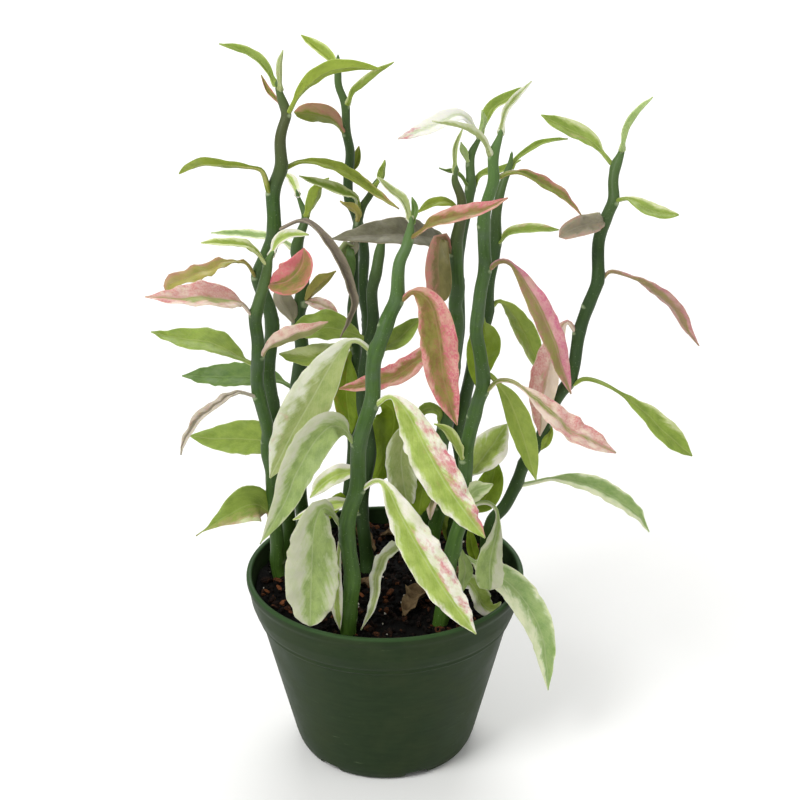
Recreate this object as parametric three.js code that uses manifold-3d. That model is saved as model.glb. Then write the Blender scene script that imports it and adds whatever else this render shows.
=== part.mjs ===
// Potted variegated devil's backbone: zigzag succulent stems with hanging variegated leaves in a nursery pot.
// Millimetres, +Z up, origin at the middle of the pot's base on the ground, viewer on the -Y side.
import * as THREE from 'three';
import Module from 'manifold-3d';
import { mergeVertices } from 'three/addons/utils/BufferGeometryUtils.js';

// Driving dimensions in mm: a small round nursery pot and its potting mix.
const POT_HEIGHT = 73;
const RIM_RADIUS = 52.5;
const RIM_WIDTH = 2.1;
const BAND_FOOT = 55.5;
const WALL_TOP_RADIUS = 47.4;
const WALL_FOOT_RADIUS = 35.4;
const CORNER_HEIGHT = 6.5;
const FOOT_RADIUS = 31.5;
const WALL_THICKNESS = 1.6;
const FLOOR_THICKNESS = 2.2;
const POT_SIDES = 40;
const DRAIN_COUNT = 6;
const DRAIN_WIDTH = 10;
const DRAIN_HEIGHT = 2.8;
const DRAIN_TURN_DEG = -69;
const SOIL_EDGE_DROP = 6.5;
const SOIL_MOUND = 1.6;
const FIT_GAP = 0.3;
const SEAT_GAP = 0.4;

// Stems and leaves in mm.
const ROOT_DEPTH = 20;
const ROOT_SHRINK = 0.82;
const STEM_ZIGZAG = 1.3;
const STEM_SHOULDER = 0.8;
const STEM_NODES = 11;
const STEM_SIDES = 7;
const STEM_STEP = 8;
const PETIOLE_WIDTH = 1.9;
const PETIOLE_THICKNESS = 1.3;
const PETIOLE_SHARE = 0.12;
const BLADE_THICKNESS = 0.9;
const TIP_WIDTH = 0.6;
const TIP_THICKNESS = 0.5;
const LEAF_ROWS = 8;
const YOUNG_LEAF_ROWS = 5;
const FOLD_DEG = 24;

// The view that the photographed points are read from: an 800 px square frame, the eye's place in mm.
const FRAME_CENTRE_PX = 400;
const FOCAL_PX = 1580;
const VIEW_PITCH = THREE.MathUtils.degToRad(22.8);
const EYE = new THREE.Vector3(5.7, -528.5, 364.1);
const VIEW_FORWARD = new THREE.Vector3(0, Math.cos(VIEW_PITCH), -Math.sin(VIEW_PITCH));
const VIEW_UP = new THREE.Vector3(0, Math.sin(VIEW_PITCH), Math.cos(VIEW_PITCH));

// Each stem from its tip down to the soil: where its middle shows in the photograph (px), then in mm how far
// behind the pot's middle it stands at base and tip (depth), how far it bows back between them, and its
// diameter at its base, at its shoulder and at its tip.
const STEMS = [
  { name: 'stem_a', depth: [20, 10], bow: -5, across: [5.6, 4.9, 3], photo: [
    [277, 79], [278, 88], [283, 103], [287, 114], [283, 126], [280, 140], [281, 157], [281, 169],
    [273, 192], [274, 219], [272, 242], [259, 272], [259, 283], [270, 311], [272, 330], [270, 350],
    [268, 372], [272, 403], [274, 425], [281, 470], [289, 522], [289, 556]] },
  { name: 'stem_b', depth: [4, -12], bow: 4, across: [5.5, 4.6, 3.2], photo: [
    [274, 251], [269, 259], [267, 271], [264, 284], [259, 302], [256, 314], [255, 321], [258, 342],
    [258, 362], [257, 383], [261, 403], [266, 421], [269, 437], [267, 452], [272, 472], [273, 500],
    [277, 540], [279, 573]] },
  { name: 'stem_c', depth: [29, 40], bow: -4, across: [5.6, 5.2, 2], photo: [
    [296, 189], [299, 199], [304, 211], [306, 218], [300, 235], [297, 247], [298, 260], [303, 289],
    [301, 303], [298, 318], [302, 350], [297, 390], [303, 430], [299, 480], [303, 520], [302, 545]] },
  { name: 'stem_k', depth: [37, 50], bow: 5, across: [5.7, 3.6, 2.6], photo: [
    [338, 54], [338, 75], [338, 85], [341, 93], [345, 103], [346, 116], [346, 131], [350, 149], [350, 160],
    [348, 180], [349, 201], [355, 212], [364, 249], [363, 276], [362, 290], [368, 326], [362, 370],
    [366, 420], [356, 480], [346, 536]] },
  { name: 'stem_d', depth: [25, 30], bow: -5, across: [4.8, 3.6, 2.2], photo: [
    [385, 169], [380, 178], [375, 184], [370, 196], [363, 205], [358, 222], [354, 250], [354, 294],
    [352, 313], [356, 355], [350, 400], [353, 450], [348, 500], [352, 550]] },
  { name: 'stem_m', depth: [7, 15], bow: -1, across: [5.3, 4.2, 4], photo: [
    [384, 233], [381, 245], [378, 262], [376, 275], [372, 289], [372, 300], [373, 325], [366, 360],
    [362, 400], [368, 432], [370, 457], [364, 485], [362, 507], [364, 534], [367, 560], [367, 573]] },
  { name: 'stem_e', depth: [-37.5, -30], bow: -4, across: [6.2, 5, 3.3], photo: [
    [411, 216], [411, 225], [409, 237], [406, 249], [400, 260], [398, 275], [397, 299], [390, 313],
    [386, 326], [381, 339], [376, 352], [373, 368], [373, 394], [371, 405], [366, 419], [362, 432],
    [359, 443], [358, 458], [358, 483], [355, 496], [350, 510], [347, 526], [348, 547], [352, 572],
    [352, 588], [350, 601], [348, 633]] },
  { name: 'stem_f', depth: [8, -2], bow: 5, across: [5.8, 4.8, 2.6], photo: [
    [457, 165], [456, 172], [454, 179], [458, 189], [462, 201], [460, 224], [457, 237], [456, 250],
    [457, 275], [458, 293], [455, 304], [457, 325], [451, 370], [446, 418], [438, 460], [440, 500],
    [432, 540], [430, 571]] },
  { name: 'stem_j', depth: [32, 44], bow: -4, across: [5, 4.3, 2.8], photo: [
    [482, 133], [477, 143], [471, 154], [470, 167], [471, 183], [469, 197], [461, 237], [458, 262],
    [459, 300], [459, 330], [454, 370], [448, 420], [436, 470], [428, 510], [416, 541]] },
  { name: 'stem_g', depth: [-31.5, -26], bow: 5, across: [5.8, 4.3, 3.3], photo: [
    [501, 129], [500, 137], [497, 144], [494, 152], [493, 166], [494, 179], [491, 190], [487, 202],
    [484, 218], [484, 241], [485, 269], [481, 288], [478, 313], [476, 332], [479, 347], [482, 368],
    [483, 387], [478, 401], [475, 414], [470, 432], [466, 452], [466, 466], [464, 485], [462, 517],
    [457, 532], [453, 548], [447, 580], [440, 624]] },
  { name: 'stem_h', depth: [15, 22], bow: -5, across: [4.9, 4.3, 2.4], photo: [
    [512, 151], [510, 165], [505, 178], [500, 195], [496, 216], [496, 236], [494, 256], [489, 281],
    [488, 300], [487, 318], [476, 350], [469, 381], [463, 408], [458, 436], [462, 480], [452, 520],
    [455, 560]] },
  { name: 'stem_i', depth: [-1.5, 12], bow: -6, across: [4.6, 4.5, 3.4], photo: [
    [624, 142], [621, 154], [616, 166], [613, 181], [614, 200], [609, 211], [600, 235], [598, 250],
    [598, 280], [593, 294], [587, 309], [582, 323], [578, 339], [574, 367], [569, 382], [561, 392],
    [553, 405], [545, 426], [539, 442], [524, 464], [518, 480], [509, 499], [502, 510], [492, 520],
    [486, 545], [480, 583]] },
];

// Each leaf from its node to its tip: where its midrib shows in the photograph (px), how far its tip reaches
// back from its node (mm, minus towards the viewer), its real width (mm), and how far its blade is turned to
// the viewer (0 lies level across its heading, 1 faces the eye).
const LEAVES = [
  { name: 'leaf_a4', stem: 'stem_a', tint: 'lime', back: -12, width: 6.8, turned: 0.55, photo: [
    [292, 112], [300, 93], [320, 75], [345, 67], [382, 69]] },
  { name: 'leaf_a6', stem: 'stem_a', tint: 'grey', back: 14, width: 6.6, turned: 0.45, photo: [
    [287, 170], [300, 162], [319, 163], [343, 171], [374, 192], [399, 209]] },
  { name: 'leaf_a7', stem: 'stem_a', tint: 'taupe', back: -16, width: 6.5, turned: 0.1, photo: [
    [281, 229], [298, 221], [311, 225], [327, 243], [340, 265], [349, 289], [352, 307], [340, 338]] },
  { name: 'leaf_a8', stem: 'stem_a', tint: 'olive', back: -24, width: 8.5, turned: 0.3, photo: [
    [255, 275], [247, 264], [233, 261], [213, 268], [190, 277], [171, 284], [166, 292]] },
  { name: 'leaf_b1', stem: 'stem_b', tint: 'lime', back: -12, width: 6.5, turned: 0.3, photo: [
    [264, 262], [257, 253], [245, 247], [222, 244], [201, 243]] },
  { name: 'leaf_b3', stem: 'stem_b', tint: 'pink', back: -22, width: 13.5, turned: 0.4, photo: [
    [250, 312], [242, 304], [230, 300], [205, 297], [175, 298], [145, 297]] },
  { name: 'leaf_b4', stem: 'stem_b', tint: 'lime', back: 14, width: 13.5, turned: 0.35, photo: [
    [252, 366], [244, 360], [232, 353], [211, 343], [181, 339], [151, 332]] },
  { name: 'leaf_b5', stem: 'stem_c', tint: 'green', back: 20, width: 13.5, turned: 0.45, photo: [
    [295, 389], [275, 379], [251, 377], [220, 377], [182, 376]] },
  { name: 'leaf_b6', stem: 'stem_b', tint: 'taupe', back: -22, width: 5.8, turned: 0.1, photo: [
    [254, 396], [244, 393], [236, 393], [221, 402], [206, 413], [193, 427], [184, 443], [181, 455]] },
  { name: 'leaf_b7', stem: 'stem_a', tint: 'green', back: 14, width: 15.5, turned: 0.7, photo: [
    [273, 447], [262, 441], [240, 439], [215, 439], [190, 436]] },
  { name: 'leaf_b8', stem: 'stem_b', tint: 'lime', back: -14, width: 16, turned: 0.7, photo: [
    [270, 512], [258, 505], [244, 507], [222, 519], [196, 536]] },
  { name: 'leaf_p1', stem: 'stem_b', tint: 'pink', back: -18, width: 7.8, turned: 0.6, photo: [
    [262, 354], [268, 347], [291, 335], [310, 329], [328, 322]] },
  { name: 'leaf_p2', stem: 'stem_d', tint: 'cream', back: -10, width: 10.5, turned: 0.5, photo: [
    [356, 345], [345, 346], [327, 353], [306, 358], [279, 354]] },
  { name: 'leaf_p3', stem: 'stem_m', tint: 'green', back: 3, width: 13, turned: 0.6, photo: [
    [368, 340], [352, 333], [330, 328], [308, 329], [288, 333]] },
  { name: 'leaf_c4', stem: 'stem_b', tint: 'pink', back: -4, width: 14, turned: 0.85, photo: [
    [266, 283], [276, 284], [288, 281], [298, 272], [303, 261], [304, 248]] },
  { name: 'leaf_k3', stem: 'stem_k', tint: 'pink', back: -14, width: 9.5, turned: 0.6, photo: [
    [342, 131], [336, 122], [326, 117], [311, 114], [294, 112]] },
  { name: 'leaf_f0', stem: 'stem_j', tint: 'taupe', back: -52, width: 13.5, turned: 0.5, photo: [
    [461, 246], [449, 244], [428, 238], [404, 235], [365, 236], [331, 239]] },
  { name: 'leaf_e3', stem: 'stem_e', tint: 'pink', back: -16, width: 8.7, turned: 0.4, photo: [
    [414, 237], [423, 230], [435, 222], [460, 216], [486, 209], [508, 198]] },
  { name: 'leaf_e4', stem: 'stem_e', tint: 'pink', back: -24, width: 13.3, turned: 1, photo: [
    [402, 299], [412, 292], [422, 295], [432, 308], [439, 339], [443, 377], [450, 403], [457, 425]] },
  { name: 'leaf_e5', stem: 'stem_e', tint: 'cream', back: -2, width: 16.5, turned: 0.9, photo: [
    [369, 349], [358, 341], [346, 344], [331, 365], [313, 397], [291, 436], [270, 478]] },
  { name: 'leaf_e6', stem: 'stem_e', tint: 'cream', back: -26, width: 14, turned: 0.85, photo: [
    [352, 440], [343, 429], [330, 427], [316, 440], [304, 459], [294, 479], [286, 500], [273, 523],
    [260, 544]] },
  { name: 'leaf_e7', stem: 'stem_e', tint: 'cream', back: -22, width: 14.8, turned: 0.9, photo: [
    [378, 405], [387, 397], [397, 400], [410, 418], [426, 450], [446, 485], [470, 519], [485, 538]] },
  { name: 'leaf_e8', stem: 'stem_e', tint: 'cream', back: -20, width: 14.5, turned: 0.9, photo: [
    [365, 488], [375, 481], [386, 486], [400, 515], [420, 552], [445, 592], [476, 634]] },
  { name: 'leaf_e9', stem: 'stem_e', tint: 'cream', back: -8, width: 20.5, turned: 0.9, photo: [
    [340, 525], [331, 512], [321, 509], [314, 530], [312, 560], [311, 590], [310, 626]] },
  { name: 'leaf_e11', stem: 'stem_f', tint: 'cream', back: -48, width: 5.5, turned: 0.3, photo: [
    [431, 549], [416, 543], [400, 546], [386, 555], [377, 575], [373, 605], [361, 630]] },
  { name: 'leaf_m1', stem: 'stem_d', tint: 'olive', back: -8, width: 11, turned: 0.9, photo: [
    [357, 350], [348, 362], [346, 390], [348, 412], [351, 434]] },
  { name: 'leaf_m2', stem: 'stem_m', tint: 'olive', back: 8, width: 19, turned: 0.9, photo: [
    [369, 412], [382, 403], [394, 414], [389, 447], [374, 484]] },
  { name: 'leaf_f1', stem: 'stem_f', tint: 'olive', back: -12, width: 10, turned: 0.9, photo: [
    [451, 252], [446, 241], [440, 240], [438, 262], [439, 285], [438, 303]] },
  { name: 'leaf_f2', stem: 'stem_f', tint: 'pink', back: -20, width: 10, turned: 0.5, photo: [
    [449, 337], [436, 345], [420, 358], [397, 375], [366, 384], [339, 389]] },
  { name: 'leaf_j6', stem: 'stem_j', tint: 'white', back: -12, width: 8, turned: 0.5, photo: [
    [476, 133], [468, 120], [455, 116], [433, 126], [398, 139]] },
  { name: 'leaf_g3', stem: 'stem_g', tint: 'salmon', back: 14, width: 7.6, turned: 0.4, photo: [
    [499, 178], [509, 173], [524, 174], [546, 186], [564, 197], [581, 215]] },
  { name: 'leaf_g4', stem: 'stem_g', tint: 'pink', back: -20, width: 8.8, turned: 0.7, photo: [
    [490, 269], [498, 262], [508, 262], [518, 272], [531, 293], [543, 316], [554, 343], [563, 371],
    [571, 394]] },
  { name: 'leaf_g5', stem: 'stem_g', tint: 'pink', back: -22, width: 10.5, turned: 0.45, photo: [
    [487, 389], [498, 381], [513, 382], [530, 394], [548, 409], [568, 428], [590, 440], [616, 453]] },
  { name: 'leaf_g6', stem: 'stem_g', tint: 'lime', back: 3, width: 9.8, turned: 0.8, photo: [
    [486, 374], [496, 381], [510, 401], [521, 430], [529, 456], [536, 480]] },
  { name: 'leaf_g9', stem: 'stem_g', tint: 'cream', back: 14, width: 14, turned: 0.8, photo: [
    [470, 480], [480, 462], [492, 446], [507, 424]] },
  { name: 'leaf_g12', stem: 'stem_g', tint: 'cream', back: -9, width: 11, turned: 0.9, photo: [
    [467, 510], [476, 504], [488, 503], [497, 512], [496, 535], [490, 562], [490, 590]] },
  { name: 'leaf_g13', stem: 'stem_g', tint: 'cream', back: 6, width: 10, turned: 0.6, photo: [
    [451, 592], [463, 584], [470, 583], [477, 593], [484, 606], [494, 610], [501, 602]] },
  { name: 'leaf_g14', stem: 'stem_g', tint: 'green', back: 5, width: 13, turned: 0.8, photo: [
    [457, 553], [480, 566], [504, 580], [519, 594], [533, 615], [542, 636], [546, 660], [548, 690]] },
  { name: 'leaf_h3', stem: 'stem_h', tint: 'olive', back: 10, width: 10, turned: 0.6, photo: [
    [491, 308], [499, 301], [510, 309], [523, 330], [533, 352], [543, 378]] },
  { name: 'leaf_i1', stem: 'stem_i', tint: 'green', back: 12, width: 9, turned: 0.4, photo: [
    [612, 164], [606, 157], [596, 146], [584, 137], [571, 131], [557, 124], [541, 115]] },
  { name: 'leaf_i2', stem: 'stem_i', tint: 'lime', back: -16, width: 7, turned: 0.4, photo: [
    [617, 201], [630, 199], [645, 208], [662, 214], [679, 215]] },
  { name: 'leaf_i3', stem: 'stem_i', tint: 'taupe', back: -14, width: 8, turned: 0.9, photo: [
    [607, 221], [599, 222], [586, 225], [571, 230], [559, 237]] },
  { name: 'leaf_i4', stem: 'stem_i', tint: 'pink', back: 16, width: 7, turned: 0.45, photo: [
    [602, 279], [609, 272], [620, 273], [640, 281], [659, 294], [676, 310], [689, 332], [699, 346]] },
  { name: 'leaf_i5', stem: 'stem_i', tint: 'pink', back: -8, width: 12, turned: 0.6, photo: [
    [576, 331], [568, 322], [561, 329], [554, 350], [545, 385], [540, 436]] },
  { name: 'leaf_i6', stem: 'stem_i', tint: 'green', back: -20, width: 10, turned: 0.5, photo: [
    [573, 384], [584, 379], [599, 382], [618, 392], [643, 411], [665, 433], [692, 456]] },
  { name: 'leaf_i7', stem: 'stem_i', tint: 'cream', back: 10, width: 9.8, turned: 0.5, photo: [
    [523, 487], [536, 482], [552, 479], [575, 482], [597, 489], [622, 503], [638, 516], [649, 532]] },
];

// Young leaves at the shoot tips and short side leaves, grown in one piece with their stem.
const YOUNG_LEAVES = [
  { stem: 'stem_a', back: 6, width: 5.4, turned: 0.45, photo: [
    [274, 86], [262, 64], [246, 53], [219, 44]] },
  { stem: 'stem_a', back: -5, width: 4, turned: 0.45, photo: [
    [277, 88], [280, 66], [283, 50]] },
  { stem: 'stem_a', back: 6, width: 3.4, turned: 0.45, photo: [
    [280, 106], [268, 92], [261, 75]] },
  { stem: 'stem_a', back: -10, width: 6.5, turned: 0.25, photo: [
    [268, 191], [264, 175], [257, 169], [234, 167], [198, 166], [179, 174]] },
  { stem: 'stem_b', back: 8, width: 6, turned: 0.45, photo: [
    [272, 256], [279, 242], [291, 236], [309, 235]] },
  { stem: 'stem_c', back: 8, width: 5, turned: 0.45, photo: [
    [298, 195], [291, 180], [283, 173]] },
  { stem: 'stem_c', back: -10, width: 7, turned: 0.45, photo: [
    [307, 216], [315, 200], [319, 189], [329, 178]] },
  { stem: 'stem_c', back: 8, width: 5.5, turned: 0.45, photo: [
    [295, 250], [283, 242], [266, 238], [243, 235], [211, 233]] },
  { stem: 'stem_k', back: 10, width: 7, turned: 0.45, photo: [
    [338, 70], [329, 58], [314, 46], [301, 35]] },
  { stem: 'stem_k', back: -6, width: 5.5, turned: 0.45, photo: [
    [347, 104], [354, 93], [367, 82], [394, 62]] },
  { stem: 'stem_k', back: 6, width: 4.5, turned: 0.9, photo: [
    [349, 172], [356, 162], [359, 146]] },
  { stem: 'stem_d', back: -8, width: 7, turned: 0.45, photo: [
    [363, 210], [354, 198], [343, 194], [319, 185], [299, 176]] },
  { stem: 'stem_e', back: 8, width: 4.6, turned: 0.45, photo: [
    [410, 219], [403, 201], [391, 191], [377, 177]] },
  { stem: 'stem_e', back: 3, width: 3.2, turned: 0.45, photo: [
    [411, 222], [415, 209], [412, 197]] },
  { stem: 'stem_f', back: 6, width: 3.2, turned: 0.45, photo: [
    [457, 172], [456, 148], [463, 128]] },
  { stem: 'stem_j', back: 10, width: 6.5, turned: 0.45, photo: [
    [483, 137], [491, 111], [504, 101], [527, 87]] },
  { stem: 'stem_j', back: -4, width: 3.4, turned: 0.45, photo: [
    [482, 136], [484, 122], [482, 110]] },
  { stem: 'stem_j', back: 8, width: 4.6, turned: 0.45, photo: [
    [473, 187], [482, 175], [501, 171], [521, 160]] },
  { stem: 'stem_g', back: 8, width: 4.4, turned: 0.45, photo: [
    [501, 133], [507, 111], [518, 97], [532, 81]] },
  { stem: 'stem_g', back: -8, width: 4.2, turned: 0.45, photo: [
    [492, 154], [483, 141], [474, 134], [460, 127], [432, 121]] },
  { stem: 'stem_h', back: 8, width: 3.6, turned: 0.45, photo: [
    [510, 168], [518, 158], [530, 150], [546, 142], [568, 139]] },
  { stem: 'stem_h', back: -8, width: 6.5, turned: 0.45, photo: [
    [498, 241], [509, 234], [523, 231], [546, 230], [559, 230]] },
  { stem: 'stem_i', back: -8, width: 4.8, turned: 0.45, photo: [
    [622, 148], [628, 130], [639, 112], [653, 97]] },
];

const FINISH = {
  pot: { color: 0x2f4a2b, roughness: 0.45 },
  soil: { color: 0x1d1613, roughness: 0.95 },
  stem: { color: 0x3f6b3f, roughness: 0.5 },
  lime: { color: 0x9bb558, roughness: 0.5 },
  green: { color: 0x6d9548, roughness: 0.5 },
  olive: { color: 0x7f8f2f, roughness: 0.5 },
  grey: { color: 0x7d8a6a, roughness: 0.5 },
  taupe: { color: 0x8a7f70, roughness: 0.5 },
  salmon: { color: 0xd8a48c, roughness: 0.5 },
  pink: { color: 0xd99a96, roughness: 0.5 },
  cream: { color: 0xdfe3c3, roughness: 0.5 },
  white: { color: 0xf0eee4, roughness: 0.5 },
};

const wasm = await Module();
wasm.setup();

function toSolid(geometry) {
  const bare = geometry.clone();
  bare.deleteAttribute('normal');
  bare.deleteAttribute('uv');
  const merged = mergeVertices(bare, 1e-4);
  return new wasm.Manifold(new wasm.Mesh({
    numProp: 3,
    vertProperties: new Float32Array(merged.attributes.position.array),
    triVerts: new Uint32Array(merged.index.array),
  }));
}

function toGeometry(solid) {
  const mesh = solid.getMesh();
  const geometry = new THREE.BufferGeometry();
  geometry.setAttribute('position', new THREE.BufferAttribute(new Float32Array(mesh.vertProperties), 3));
  geometry.setIndex(new THREE.BufferAttribute(new Uint32Array(mesh.triVerts), 1));
  return geometry;
}

function makeMesh(name, geometry, finish) {
  const mesh = new THREE.Mesh(geometry, new THREE.MeshStandardMaterial({ metalness: 0, ...FINISH[finish] }));
  mesh.name = name;
  return mesh;
}

// The point seen at a place in the photograph, at a given depth behind the pot's middle.
function fromPhoto([x, y], depth) {
  const ray = VIEW_FORWARD.clone()
    .add(new THREE.Vector3((x - FRAME_CENTRE_PX) / FOCAL_PX, 0, 0))
    .addScaledVector(VIEW_UP, (FRAME_CENTRE_PX - y) / FOCAL_PX);
  return EYE.clone().addScaledVector(ray, (depth - EYE.y) / ray.y);
}

function toPhoto(point) {
  const seen = point.clone().sub(EYE);
  const away = seen.dot(VIEW_FORWARD);
  return [FRAME_CENTRE_PX + FOCAL_PX * seen.x / away, FRAME_CENTRE_PX - FOCAL_PX * seen.dot(VIEW_UP) / away];
}

// How far along its photographed path each point lies, from 0 to 1.
function shares(photo) {
  const run = [0];
  for (let i = 1; i < photo.length; i += 1) {
    run.push(run[i - 1] + Math.hypot(photo[i][0] - photo[i - 1][0], photo[i][1] - photo[i - 1][1]));
  }
  return run.map((length) => length / run[run.length - 1]);
}

function smoothCurve(points) {
  return new THREE.CatmullRomCurve3(points, false, 'catmullrom', 0.5);
}

// A stem's curve runs from its foot in the soil up to its tip.
function stemCurve(stem) {
  const climb = [...stem.photo].reverse();
  const [baseDepth, tipDepth] = stem.depth;
  const points = shares(climb).map((share, i) => {
    const zigzag = STEM_ZIGZAG * Math.sin(share * STEM_NODES * Math.PI);
    const bow = stem.bow * Math.sin(share * Math.PI);
    return fromPhoto(climb[i], THREE.MathUtils.lerp(baseDepth, tipDepth, share) + bow + zigzag);
  });
  const foot = points[0].clone().multiplyScalar(ROOT_SHRINK).setZ(points[0].z - ROOT_DEPTH);
  return smoothCurve([foot, ...points]);
}

// A stem thins a little up to its shoulder and faster through its young top.
function stemRadius(stem, share) {
  const [base, shoulder, tip] = stem.across;
  const across = THREE.MathUtils.lerp(base, shoulder, Math.min(share / STEM_SHOULDER, 1));
  return (across + (tip - shoulder) * THREE.MathUtils.smoothstep(share, STEM_SHOULDER, 1)) / 2;
}

function ringCount(curve) {
  return Math.round(curve.getLength() / STEM_STEP);
}

// A closed round bar along a curve: a cylinder whose rings are carried onto it.
function barGeometry(curve, radiusAt) {
  const rows = ringCount(curve);
  const bar = new THREE.CylinderGeometry(1, 1, 1, STEM_SIDES, rows);
  const position = bar.attributes.position;
  for (let i = 0; i < position.count; i += 1) {
    const share = Math.min(Math.max(position.getY(i) + 0.5, 0), 1);
    const tangent = curve.getTangentAt(share);
    const side = new THREE.Vector3(0, 1, 0).cross(tangent).normalize();
    const front = tangent.clone().cross(side);
    const radius = radiusAt(share);
    const point = curve.getPointAt(share)
      .addScaledVector(side, position.getX(i) * radius)
      .addScaledVector(front, -position.getZ(i) * radius);
    position.setXYZ(i, point.x, point.y, point.z);
  }
  return bar;
}

// The node on the stem that a leaf grows from: the place whose picture is nearest the leaf's first point,
// on the straight runs between the stem's rings.
function nodeOnStem(stem, photoPoint) {
  const rows = ringCount(stem.curve);
  const stepsPerRow = 12;
  let best = { miss: Infinity };
  for (let row = 0; row < rows; row += 1) {
    const lower = stem.curve.getPointAt(row / rows);
    const upper = stem.curve.getPointAt((row + 1) / rows);
    for (let step = 0; step < stepsPerRow; step += 1) {
      const point = lower.clone().lerp(upper, step / stepsPerRow);
      const [x, y] = toPhoto(point);
      const miss = Math.hypot(x - photoPoint[0], y - photoPoint[1]);
      if (miss < best.miss) {
        const tangent = upper.clone().sub(lower).normalize();
        best = { miss, point, tangent, share: (row + step / stepsPerRow) / rows };
      }
    }
  }
  return best;
}

// The midrib: it leaves the stem's skin with the fitting gap (or from the stem's heart where it is grown on).
function midribCurve(leaf, stem, grownOn) {
  const node = nodeOnStem(stem, leaf.photo[0]);
  const points = shares(leaf.photo).map((share, i) => (
    fromPhoto(leaf.photo[i], node.point.y + leaf.back * (1 - (1 - share) ** 2))));
  const { tangent } = node;
  const outward = points[1].clone().sub(node.point);
  const lean = Math.abs(outward.clone().normalize().dot(tangent));
  outward.addScaledVector(tangent, -outward.dot(tangent)).normalize();
  const skin = stemRadius(stem, node.share) + SEAT_GAP + lean * PETIOLE_THICKNESS * 0.6;
  points[0] = node.point.clone().addScaledVector(outward, grownOn ? 0 : skin);
  return smoothCurve(points);
}

// Half the leaf's width along it: a narrow petiole, then a lance-shaped blade drawn out to a point.
function halfWidth(width, share) {
  const blade = Math.max(0, (share - PETIOLE_SHARE) / (1 - PETIOLE_SHARE));
  const rise = 0.9;
  const fall = 0.95;
  const peak = rise / (rise + fall);
  const fullest = peak ** rise * (1 - peak) ** fall;
  const petiole = THREE.MathUtils.lerp(PETIOLE_WIDTH, TIP_WIDTH, share) / 2;
  return Math.max(petiole, width / 2 * blade ** rise * (1 - blade) ** fall / fullest);
}

function leafThickness(share) {
  if (share < PETIOLE_SHARE) {
    return THREE.MathUtils.lerp(PETIOLE_THICKNESS, BLADE_THICKNESS, share / PETIOLE_SHARE);
  }
  return THREE.MathUtils.lerp(BLADE_THICKNESS, TIP_THICKNESS, (share - PETIOLE_SHARE) / (1 - PETIOLE_SHARE));
}

// The direction in the picture square to the midrib, at a share of its length.
function acrossPicture(curve, share) {
  return curve.getTangentAt(share).cross(curve.getPointAt(share).sub(EYE)).normalize();
}

// The direction from one margin to the other along a leaf: level across its heading, or turned to the viewer
// with whichever of its faces already shows more.
function acrossBlade(curve, turned) {
  const heading = curve.getPointAt(1).sub(curve.getPointAt(0)).setZ(0).normalize();
  const level = new THREE.Vector3(0, 0, 1).cross(heading);
  const shown = [0.2, 0.5, 0.8].reduce((sum, share) => sum + acrossPicture(curve, share).dot(level), 0);
  return (share) => {
    const tangent = curve.getTangentAt(share);
    const side = level.clone().lerp(acrossPicture(curve, share).multiplyScalar(Math.sign(shown)), turned);
    return side.addScaledVector(tangent, -side.dot(tangent)).normalize();
  };
}

// A leaf folded along its midrib: a box of two strips carried onto the midrib's curve.
function leafGeometry(leaf, curve, rows) {
  const sheet = new THREE.BoxGeometry(2, 1, 1, 2, rows, 1);
  const position = sheet.attributes.position;
  const across = acrossBlade(curve, leaf.turned);
  const fold = THREE.MathUtils.degToRad(FOLD_DEG);
  for (let i = 0; i < position.count; i += 1) {
    const share = position.getY(i) + 0.5;
    const offset = position.getX(i);
    const side = across(share);
    const upper = curve.getTangentAt(share).cross(side);
    const half = halfWidth(leaf.width, share);
    const lift = Math.abs(offset) * half * Math.sin(fold) - position.getZ(i) * leafThickness(share);
    const point = curve.getPointAt(share)
      .addScaledVector(side, offset * half * Math.cos(fold))
      .addScaledVector(upper, lift);
    position.setXYZ(i, point.x, point.y, point.z);
  }
  return sheet;
}

function potProfile() {
  const rimInside = RIM_RADIUS - RIM_WIDTH;
  const outside = [
    [0, 0], [FOOT_RADIUS, 0], [FOOT_RADIUS + 1.6, 0.9], [WALL_FOOT_RADIUS - 1, 3.4],
    [WALL_FOOT_RADIUS, CORNER_HEIGHT], [WALL_TOP_RADIUS, BAND_FOOT],
    [WALL_TOP_RADIUS + 1.1, BAND_FOOT + 0.8],
    [WALL_TOP_RADIUS + 1.1, BAND_FOOT + 2.2], [WALL_TOP_RADIUS + 2, BAND_FOOT + 3.4],
    [WALL_TOP_RADIUS + 3.4, BAND_FOOT + 7.5], [RIM_RADIUS - 0.7, POT_HEIGHT - 4],
    [RIM_RADIUS, POT_HEIGHT - 2.4], [RIM_RADIUS, POT_HEIGHT - 0.6],
  ];
  const inside = [
    [RIM_RADIUS - 0.6, POT_HEIGHT], [rimInside + 0.5, POT_HEIGHT], [rimInside, POT_HEIGHT - 0.5],
    [rimInside - 1.2, BAND_FOOT + 7.5], [WALL_TOP_RADIUS - WALL_THICKNESS, BAND_FOOT],
    [WALL_FOOT_RADIUS - WALL_THICKNESS, CORNER_HEIGHT + 0.6],
    [FOOT_RADIUS, FLOOR_THICKNESS], [0, FLOOR_THICKNESS],
  ];
  return [...outside, ...inside];
}

function lathe(profile) {
  const turned = new THREE.LatheGeometry(profile.map(([r, z]) => new THREE.Vector2(r, z)), POT_SIDES);
  turned.rotateX(Math.PI / 2);
  return turned;
}

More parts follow.
